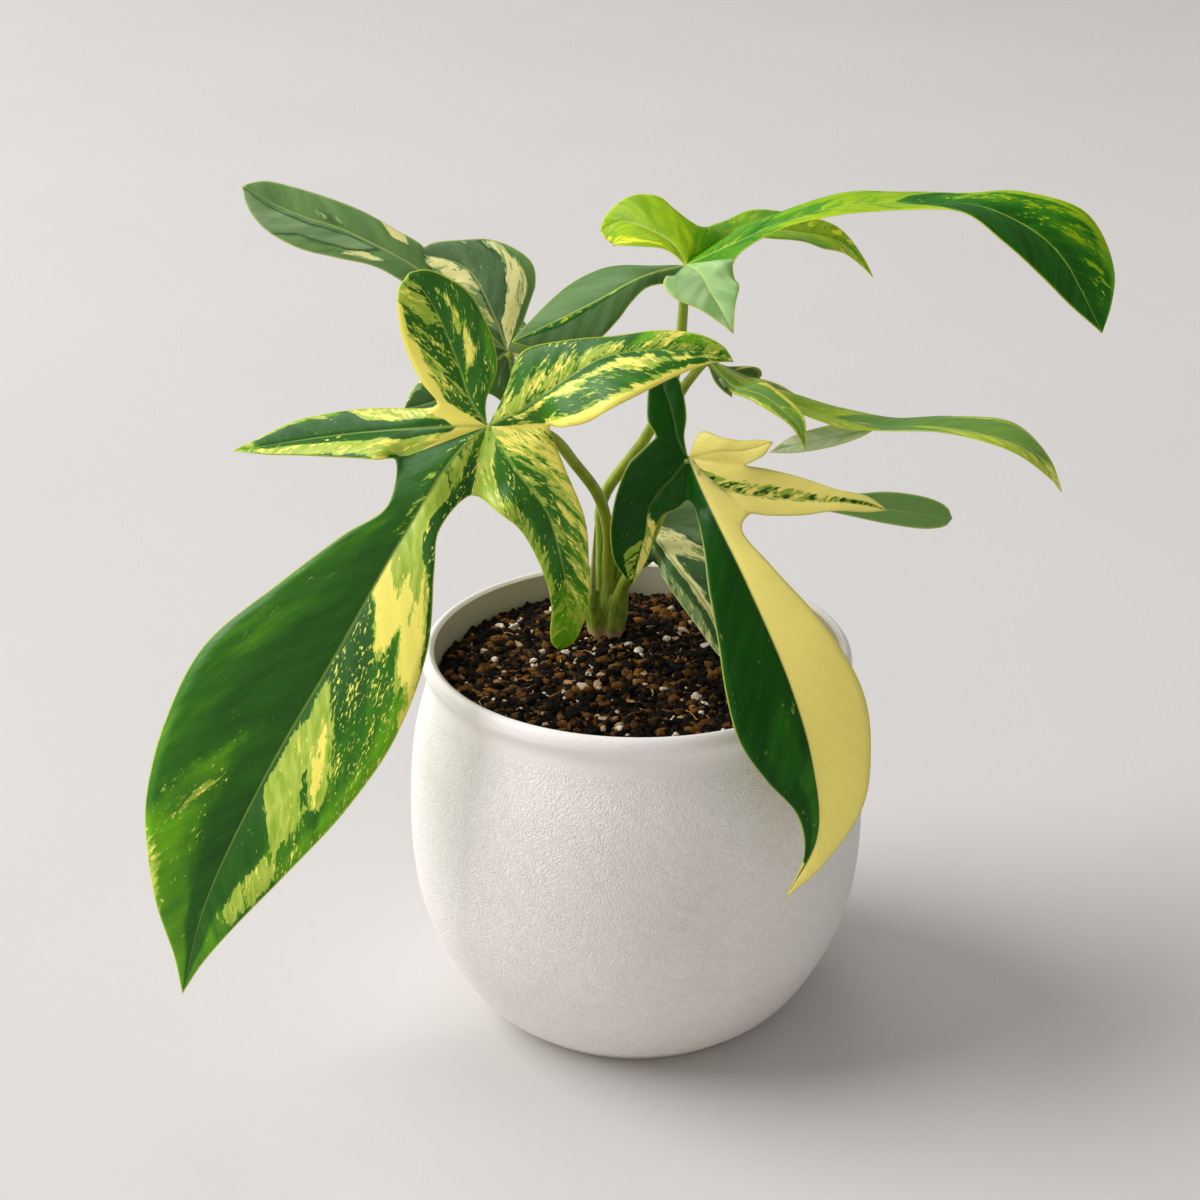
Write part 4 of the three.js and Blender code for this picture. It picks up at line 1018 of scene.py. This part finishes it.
topRightLeaf = {
    "name": "TopRight", "node": "top_right", "slot": "leaf_bright", "seed": 31, "joint": (15, 24, 248),
    "stalk": [(-10.4, 32.5, 124), (-11.5, 34, 150), (-11, 33, 166), (3.4, 29, 190), (12, 27, 211), (15, 24, 247.6)],
    "sinuses": [(19, 38, 257), (31, 42, 254), (29, 8, 254), (9, 14, 245)],
    "lobes": [{
        "rib": [(11, 30, 253), (4, 36, 256), (-5, 43, 257), (-12, 47, 253)],
        "up": [(0.1, -0.3, 0.95), (0, -0.6, 0.8), (-0.1, -0.8, 0.5)], "neck": 0.3,
        "left": [(0.2, 4), (0.42, 9), (0.65, 11), (0.85, 8), (0.95, 4)],
        "right": [(0.45, 11), (0.6, 12), (0.75, 9), (0.9, 4)],
        "base": (1, 0.04, 0.9, 0), "patches": [
            (-1, -0.3, 1.1, 0.55, 1.3, 1, 0.42, 0.9, 0), (0, -1, 0.1, 0, 1.3, 0.8, 0, 0.9, 0)],
    }, {
        "rib": [(35, 50, 252), (55, 72, 246), (71, 84, 239), (82, 90, 226)],
        "up": [(0, 0.1, 1), (0, -0.2, 0.95), (0.2, -0.35, 0.9), (0.6, -0.6, 0.5)], "neck": 0.2,
        "left": [(0.3, 9), (0.48, 12), (0.64, 10), (0.8, 6), (0.92, 2)],
        "right": [(0.3, 9), (0.48, 12), (0.64, 10), (0.8, 6), (0.92, 2)],
        "base": (0.45, 0.02, 0.95, 0), "patches": [
            (0, 0.2, 0.75, 0, 0.3, 0.9, 0.1, 0.95, 0), (0, 0.6, 1.2, 0.3, 1.3, 1, 0.4, 0.9, 0)],
    }, {
        "rib": [(30, 20, 256), (46, 16, 264), (67, 12, 270), (86, 8, 271), (103, 4, 271), (124, 0, 260),
                (140.6, -4, 234.2)],
        "up": [(0, -0.2, 0.97), (-0.1, -0.1, 1), (-0.1, -0.1, 1), (0, -0.05, 1), (0.3, -0.75, 0.6), (0.4, -0.8, 0.4)],
        "neck": 0.13,
        "left": [(0.2, 9), (0.35, 10), (0.5, 9), (0.6, 9), (0.7, 13), (0.8, 16.6), (0.9, 13.6), (0.96, 7.6)],
        "right": [(0.22, 8), (0.35, 9), (0.48, 9), (0.6, 12), (0.7, 14), (0.82, 11), (0.92, 6)],
        "base": (0.66, 0.06, 0.95, 0), "patches": [
            (0, -1, 0.16, 0, 1.3, 0.3, 0, 0.75, 0), (0, 0.1, 0.3, 0, 0.5, 0.3, 0, 0.7, 0),
            (1, 0.46, 1.2, 0, 1.3, 0.03, 0, 0.3, 0.05), (-1, 0.46, 1.2, 0, 1.3, 0.08, 0, 0.35, 0.15),
            (-1, 0.42, 0.9, 0.78, 1.3, 0.7, 0.16, 0.9, 0.1), (-1, 0.5, 0.95, 0.3, 0.75, 0.34, 0.06, 0.6, 0.3),
            (-1, 0.7, 1.2, 0.8, 1.3, 0.4, 0.1, 0.95, 0.2)],
    }, {
        "rib": [(19, 14, 248), (21, 3, 246), (24, -6, 243), (28, -13, 237)],
        "up": [(0, -0.3, 0.95), (0.1, -0.6, 0.8), (0.1, -0.9, 0.4)], "fold": 8, "neck": 0.3,
        "left": [(0.42, 9), (0.6, 9), (0.82, 4)], "right": [(0.38, 12), (0.5, 14), (0.62, 12), (0.75, 6), (0.9, 2)],
        "base": (0, 0, -0.6, 0),
    }, {
        "rib": [(1, 10, 248), (-15, 4, 241), (-29, 0, 235), (-39, -3, 231)],
        "up": [(-0.1, -0.5, 0.85), (-0.15, -0.55, 0.8)], "fold": -18, "neck": 0.22,
        "left": [(0.32, 4), (0.42, 6), (0.52, 9), (0.68, 12), (0.86, 8)],
        "right": [(0.15, 5), (0.28, 10), (0.42, 14), (0.58, 16), (0.72, 13), (0.88, 6)],
        # painted sheen: this lobe is lightened towards the pale grey-green
        "base": (0.02, 0, -0.2, 0), "patches": [
            (-1, -0.5, 1.1, 0, 1.3, 0, 0, -0.16, 0), (-1, 0.2, 1.1, 0, 0.14, 0.45, 0.3, 0.4, 0.5)],
    }],
}

# Front right leaf: dark green on one half and pale yellow on the other

frontRightLeaf = {
    "name": "FrontRight", "node": "front_right", "slot": "leaf_half_yellow", "seed": 47, "joint": (15, -15, 198),
    "stalk": [(-7.4, 26, 124), (-5, 23, 137), (3, 12, 158), (9, 0, 178), (15, -15, 197.6)],
    "sinuses": [(32, -24, 199), (33, -34, 187), (15, -20, 186), (5, -13, 204)],
    "lobes": [{
        "rib": [(23, -20, 202), (32, -22, 203), (40, -23, 206)], "up": [(0, -0.75, 0.65), (0.1, -0.8, 0.6)],
        "neck": 0.62,
        "left": [(0.2, 7), (0.45, 4), (0.7, 3), (0.88, 2)], "right": [(0.75, 4), (0.88, 3)],
        "base": (1, 1, 0.5, 0),
    }, {
        "rib": [(20, -22, 193), (32, -28, 191), (47, -30, 190), (63, -30, 189), (75, -28, 186)],
        "up": [(0, -0.8, 0.6), (0.1, -0.75, 0.65), (0.1, -0.8, 0.6)], "neck": 0.33,
        "left": [(0.42, 9), (0.6, 7), (0.75, 4), (0.9, 3)], "right": [(0.45, 6), (0.6, 5), (0.75, 3), (0.9, 2)],
        "base": (1, 1, 0.4, 0), "patches": [
            (-1, -0.2, 1, 0, 0.42, 0.52, 0.42, 0.2, 0), (1, 0.1, 0.8, 0, 0.2, 0.66, 0.5, 0.3, 0)],
    }, {
        "rib": [(19, -26, 191), (32, -50, 170), (44, -64, 145), (51, -70, 122), (53, -74, 99), (44, -76, 79)],
        "up": [(0.05, -0.85, 0.5), (0.25, -0.9, 0.35), (0.3, -0.95, 0.1), (0.1, -1, 0.1)], "fold": 7, "neck": 0.12,
        "left": [(0.2, 6), (0.3, 9), (0.4, 14), (0.5, 18), (0.6, 20), (0.7, 18), (0.8, 13), (0.9, 5)],
        "right": [(0.2, 7), (0.3, 12), (0.4, 16), (0.5, 20), (0.6, 21), (0.7, 16), (0.8, 7), (0.9, 2)],
        "base": (0.02, 0, 0.1, 0.05), "patches": [
            (-1, -1, 1.3, -0.5, 1.6, 1, 1, 0.4, 0), (-1, -0.7, 0.05, 0.1, 0.8, 0.8, 0.75, 0.3, 0),
            (1, 0.9, 1.2, 0.3, 1.3, 0.6, 0.5, 0.6, 0), (1, 0.5, 0.66, 0.2, 0.8, 0.06, 0, 0.6, 0.06),
            (1, 0.66, 1.1, 0, 0.4, 0.1, 0, 0.7, 0.05)],
    }, {
        "rib": [(10, -17, 192), (6, -18, 188), (3, -19, 183), (2, -19, 175), (0, -18, 166), (-2, -16, 156)],
        "up": [(-0.1, -0.85, 0.5), (-0.2, -0.95, 0.25), (-0.2, -0.95, 0.2)], "fold": 8, "neck": 0.2,
        "left": [(0.3, 8), (0.42, 5), (0.55, 3), (0.7, 3), (0.85, 2)],
        "right": [(0.26, 13), (0.4, 11), (0.55, 11), (0.7, 10), (0.85, 7)],
        "base": (0.02, 0, 0.05, 0.04), "patches": [
            (-1, 0.42, 1.2, 0, 1.3, 0.7, 0.55, 0.5, 0.1), (1, 0.62, 1.2, 0, 0.6, 0.5, 0.3, 0.5, 0.1)],
    }, {
        "rib": [(12, -13, 203), (10, -8, 211), (7, -2, 219), (7, 2, 223)],
        "up": [(-0.05, -0.85, 0.5), (-0.1, -0.9, 0.4)],
        "neck": 0.28,
        "left": [(0.42, 8), (0.6, 7), (0.8, 4)], "right": [(0.2, 2), (0.4, 4), (0.6, 5), (0.8, 5)],
        "base": (0.02, 0, 0.1, 0.03),
    }],
}

# Middle leaf: low, behind the front right one, with one long narrow lobe

middleLeaf = {
    "name": "Middle", "node": "middle", "slot": "leaf_grey", "seed": 59, "joint": (1, 20, 164),
    "stalk": [(-6.2, 28.8, 124), (-4, 30.5, 142), (-3, 30, 153), (-0.5, 26, 161), (1, 20, 163.6)],
    "sinuses": [(10, 19, 173), (25, 9, 163), (8, 14, 149)],
    "lobes": [{
        "rib": [(4, 19, 172), (9, 18, 181)], "up": [(0, -0.9, 0.4), (0, -0.9, 0.4)], "neck": 0.35,
        "left": [(0.2, 1.5), (0.4, 4), (0.7, 4), (0.88, 2)], "right": [(0.55, 5), (0.8, 3)],
        "base": (0.1, 0, 0, 0.1),
    }, {
        "rib": [(17, 18, 173), (35, 15, 176), (52, 12, 175), (67, 11, 172), (82, 10, 171), (101, 8, 169)],
        "up": [(0, -0.8, 0.6), (0, -0.7, 0.7), (0.1, -0.8, 0.6)], "neck": 0.16,
        "left": [(0.25, 3), (0.45, 3), (0.65, 4), (0.8, 6), (0.92, 5.5), (0.97, 4), (0.99, 2.4)],
        "right": [(0.26, 4), (0.45, 3), (0.65, 3), (0.8, 5), (0.92, 5), (0.97, 3.6), (0.99, 2.2)],
        "base": (0.04, 0, 1.1, 0.05), "patches": [(0, -1, 0.2, 0, 1.3, 0, 0, -0.3, 0)],
    }, {
        "rib": [(6, 14, 160), (12, 4, 155), (21, -5, 146), (27, -12, 135), (33, -22, 126)],
        "up": [(0.1, -0.85, 0.5), (0.1, -0.8, 0.6)], "neck": 0.22,
        "left": [(0.35, 10), (0.5, 11), (0.7, 8), (0.88, 4)], "right": [(0.35, 6), (0.5, 7), (0.65, 6), (0.8, 4)],
        "base": (0.2, 0.12, 0.2, 0.4), "patches": [
            (1, -0.2, 0.9, 0.5, 1.3, 0.7, 0.4, 0.5, 0.2), (1, -0.2, 0.4, 0.1, 0.5, 0.3, 0.2, 0.2, 0.4),
            (-1, -1.5, 0.02, 0, 1.3, 0, 0, -0.3, 0), (-1, 0.02, 0.26, 0.1, 1.3, 0.66, 0.6, 0.3, 0.3),
            (-1, 0.3, 1.2, 0.2, 1.3, 0.1, 0, 0.1, 0.2), (0, 0, 1, 0, 0.14, 0.95, 0.9, 0.5, 0)],
    }, {
        "rib": [(0, 24, 155), (-1, 25, 149), (-3, 24, 144)], "up": [(-0.1, -0.9, 0.4), (-0.1, -0.9, 0.4)],
        "neck": 0.5,
        "left": [(0.65, 8), (0.85, 5)], "right": [(0.2, 2), (0.4, 5), (0.7, 4), (0.88, 3)],
        "base": (0.2, 0.1, 0.2, 0.3),
    }],
}

# Right leaf: seen nearly edge-on, with a folded flap under its long lobe

rightLeaf = {
    "name": "Right", "node": "right", "slot": "leaf_bright", "seed": 71, "joint": (21, 6, 223),
    "stalk": [(-7.3, 32.4, 124), (-4.5, 36, 148), (0, 32, 168), (7, 22, 190), (13, 13, 209), (17, 8, 217),
              (21, 6, 222.6)],
    "sinuses": [(30, 18, 215), (35, 13, 214), (33, 2, 215), (28, 2, 214)],
    "lobes": [{
        "rib": [(31, 24, 213.5), (37, 40, 204)], "up": [(0, 0.35, 0.93), (0.1, 0.4, 0.9)], "neck": 0.3,
        "left": [(0.2, 2), (0.4, 7), (0.65, 9), (0.85, 6)], "right": [(0.5, 7), (0.7, 7), (0.88, 4)],
        "base": (0.3, 0.1, 0.8, 0.1), "patches": [(0, -1, 1.2, 0.8, 1.3, 0.9, 0.6, 0.5, 0)],
    }, {
        "rib": [(43, 28, 206.5), (55, 41, 195), (67, 50, 187)], "up": [(0.05, 0.3, 0.95), (0.15, 0.3, 0.92)],
        "fold": 2, "neck": 0.28,
        "left": [(0.42, 8), (0.6, 9), (0.78, 7), (0.92, 3)], "right": [(0.42, 6), (0.6, 6), (0.78, 5), (0.92, 3)],
        "base": (0.06, 0, 0.2, 0), "patches": [(0, -1, 1.2, 0.8, 1.3, 0.9, 0.4, 0.5, 0)],
    }, {
        "rib": [(26, 4, 220), (35, 2, 215), (61, 2, 205), (75, 0, 203), (92, -4, 204), (119, -10, 200),
                (131, -12, 186)],
        "up": [(0, -0.3, 0.95), (0, -0.02, 1), (0, 0.02, 1), (0, 0.14, 0.98), (0.1, -0.05, 1), (0.5, -0.25, 0.8)],
        "neck": 0.12,
        "left": [(0.2, 7), (0.35, 10), (0.5, 9), (0.65, 12), (0.8, 12), (0.92, 6)],
        "right": [(0.2, 8), (0.3, 12), (0.4, 11), (0.5, 8), (0.65, 12), (0.8, 12), (0.92, 6)],
        "base": (0.9, 0.3, 0.9, 0.1), "patches": [
            (0, -1, 0.03, 0, 1.3, 0.1, 0, 0.2, 0), (0, 0.36, 0.9, 0, 1.3, 0.1, 0, 0.8, 0),
            (1, 0.5, 0.95, 0.4, 1.3, 0.85, 0.4, 0.7, 0), (-1, 0.5, 0.95, 0.7, 1.3, 0.6, 0.3, 0.9, 0),
            (0, 0.92, 1.2, 0, 1.3, 1, 0.6, 0.8, 0)],
    }, {
        "rib": [(29, 1, 216), (37, -4, 215), (43, -9, 212), (48, -12, 208), (51, -14, 200)],
        "up": [(0, -0.7, 0.7), (0.1, -0.9, 0.4)], "neck": 0.26,
        "left": [(0.42, 4), (0.6, 4), (0.8, 3)], "right": [(0.42, 3), (0.6, 3), (0.8, 2)],
        "base": (0.3, 0.08, 0.9, 0.1), "patches": [
            (1, -1, 1.2, 0.7, 1.3, 0.8, 0.5, 0.5, 0), (-1, 0.3, 1.2, 0.7, 1.3, 0.8, 0.6, 0.6, 0)],
    }, {
        "rib": [(24, 4, 219), (27, 2.5, 215), (29, 1, 212)], "up": [(0, -0.9, 0.4), (0.1, -0.9, 0.3)], "neck": 0.4,
        "left": [(0.6, 2), (0.8, 1.5)], "right": [(0.25, 1.2), (0.5, 2), (0.8, 1.4)],
        "base": (0.1, 0, 0.1, 0),
    }],
}

rightLeafFlap = {
    "name": "RightFlap", "seed": 83, "joint": (75, 0, 203), "sinuses": [], "ribWidth": 0.6,
    "lobes": [{
        "rib": [(62, -6, 202), (51, -9, 201), (40, -10, 198)], "up": [(0, -0.75, 0.6), (0, -0.75, 0.6)],
        "fold": 4, "neck": 0.2,
        "left": [(0.2, 2), (0.5, 3.2), (0.8, 2.6)], "right": [(0.2, 3), (0.5, 3.8), (0.8, 2.6)],
        # painted light: the flap faces down, away from the lamps, and its base and patch take the palest grey-green
        # as if it caught light
        "base": (0.1, 0, -1, 0), "patches": [(0, 0.8, 1.2, 0, 1.3, 0, 0, -0.35, 0)],
    }],
}


# Colours and finish of the leaves. The two grey-green tones used where the light amount is below zero are partly the
# leaves' own colour and partly painted sheen, brighter on lobes that face away from the lamps.

brightTones = {
    "dark": rgb(24, 78, 12), "green": rgb(48, 114, 14), "bright": rgb(104, 170, 4),
    "lime": rgb(190, 206, 90), "limeDeep": rgb(148, 180, 48), "pale": rgb(255, 238, 114),
    "greyAndSheen": rgb(120, 160, 100), "greyAndSheenDeep": rgb(84, 126, 72),
    "under": rgb(150, 175, 110), "ribTone": rgb(160, 190, 84), "ribShow": 0.5,
    "margin": rgb(206, 210, 70), "veinTone": rgb(120, 170, 70), "veinShow": 0.04, "veinStep": 9.0,
    "rough": 0.42, "shine": 0.28, "glow": 0.5,
}
greyTones = {
    "dark": rgb(48, 88, 42), "green": rgb(88, 128, 70), "bright": rgb(120, 158, 88),
    "lime": rgb(164, 190, 128), "limeDeep": rgb(132, 166, 98), "pale": rgb(248, 238, 168),
    "greyAndSheen": rgb(140, 168, 120), "greyAndSheenDeep": rgb(104, 138, 88),
    "under": rgb(160, 180, 130), "ribTone": rgb(190, 206, 130), "ribShow": 0.6,
    "margin": rgb(200, 206, 130), "veinTone": rgb(150, 178, 116), "veinShow": 0.06, "veinStep": 7.0,
    "rough": 0.46, "shine": 0.36, "glow": 0.5,
}
limeTones = {
    "dark": rgb(10, 70, 3), "green": rgb(36, 116, 8), "bright": rgb(104, 166, 4),
    "lime": rgb(158, 190, 2), "limeDeep": rgb(124, 166, 2), "pale": rgb(228, 228, 50),
    "greyAndSheen": rgb(164, 196, 136), "greyAndSheenDeep": rgb(132, 170, 104),
    "under": rgb(150, 180, 80), "ribTone": rgb(196, 212, 110), "ribShow": 0.5,
    "margin": rgb(206, 218, 50), "veinTone": rgb(150, 196, 80), "veinShow": 0.05, "veinStep": 6.5,
    "rough": 0.42, "shine": 0.18, "glow": 0.6,
}
halfTones = {
    "dark": rgb(14, 72, 3), "green": rgb(28, 96, 8), "bright": rgb(58, 134, 14),
    "lime": rgb(178, 196, 80), "limeDeep": rgb(140, 172, 56), "pale": rgb(255, 234, 132),
    "greyAndSheen": rgb(90, 130, 80), "greyAndSheenDeep": rgb(60, 100, 60),
    "under": rgb(170, 180, 120), "ribTone": rgb(120, 160, 80), "ribShow": 0.3,
    "margin": rgb(186, 200, 100), "veinTone": rgb(110, 156, 80), "veinShow": 0.03, "veinStep": 8.0,
    "rough": 0.36, "shine": 0.16, "glow": 0.5,
}
tealTones = {
    "dark": rgb(50, 94, 44), "green": rgb(98, 142, 66), "bright": rgb(122, 164, 54),
    # the pale grey-green pair here is raised almost to white as painted light on the down-facing flap
    "lime": rgb(184, 206, 44), "limeDeep": rgb(146, 184, 26), "pale": rgb(240, 230, 110),
    "greyAndSheen": rgb(222, 232, 200), "greyAndSheenDeep": rgb(176, 200, 150),
    "under": rgb(160, 184, 130), "ribTone": rgb(190, 206, 120), "ribShow": 0.5,
    "margin": rgb(206, 212, 90), "veinTone": rgb(150, 182, 110), "veinShow": 0.05, "veinStep": 7.0,
    "rough": 0.42, "shine": 0.32, "glow": 0.6,
}

allLeaves = [
    (frontLeftLeaf, brightTones), (backLeftLeaf, greyTones), (topRightLeaf, limeTones),
    (frontRightLeaf, halfTones), (middleLeaf, greyTones), (rightLeaf, tealTones),
]
for leaf, tones in allLeaves:
    body = buildBlade(leaf)
    if leaf is rightLeaf:
        body = joinAll([body, buildBlade(rightLeafFlap)], "Right")
    dress(body, bladeMaterial("blade" + leaf["name"], tones), leaf["slot"], "blade_" + leaf["node"])
    buildStalk("stalk" + leaf["name"], leaf["stalk"], stalks, stalkSkin, "stalk_" + leaf["node"])
    print("leaf", leaf["name"], len(body.data.polygons))

crownLump = buildCrown([leaf["stalk"] for leaf, tones in allLeaves])
dress(crownLump, crownMaterial(), "stem", "stem")
print("crown ready", len(crownLump.data.polygons))
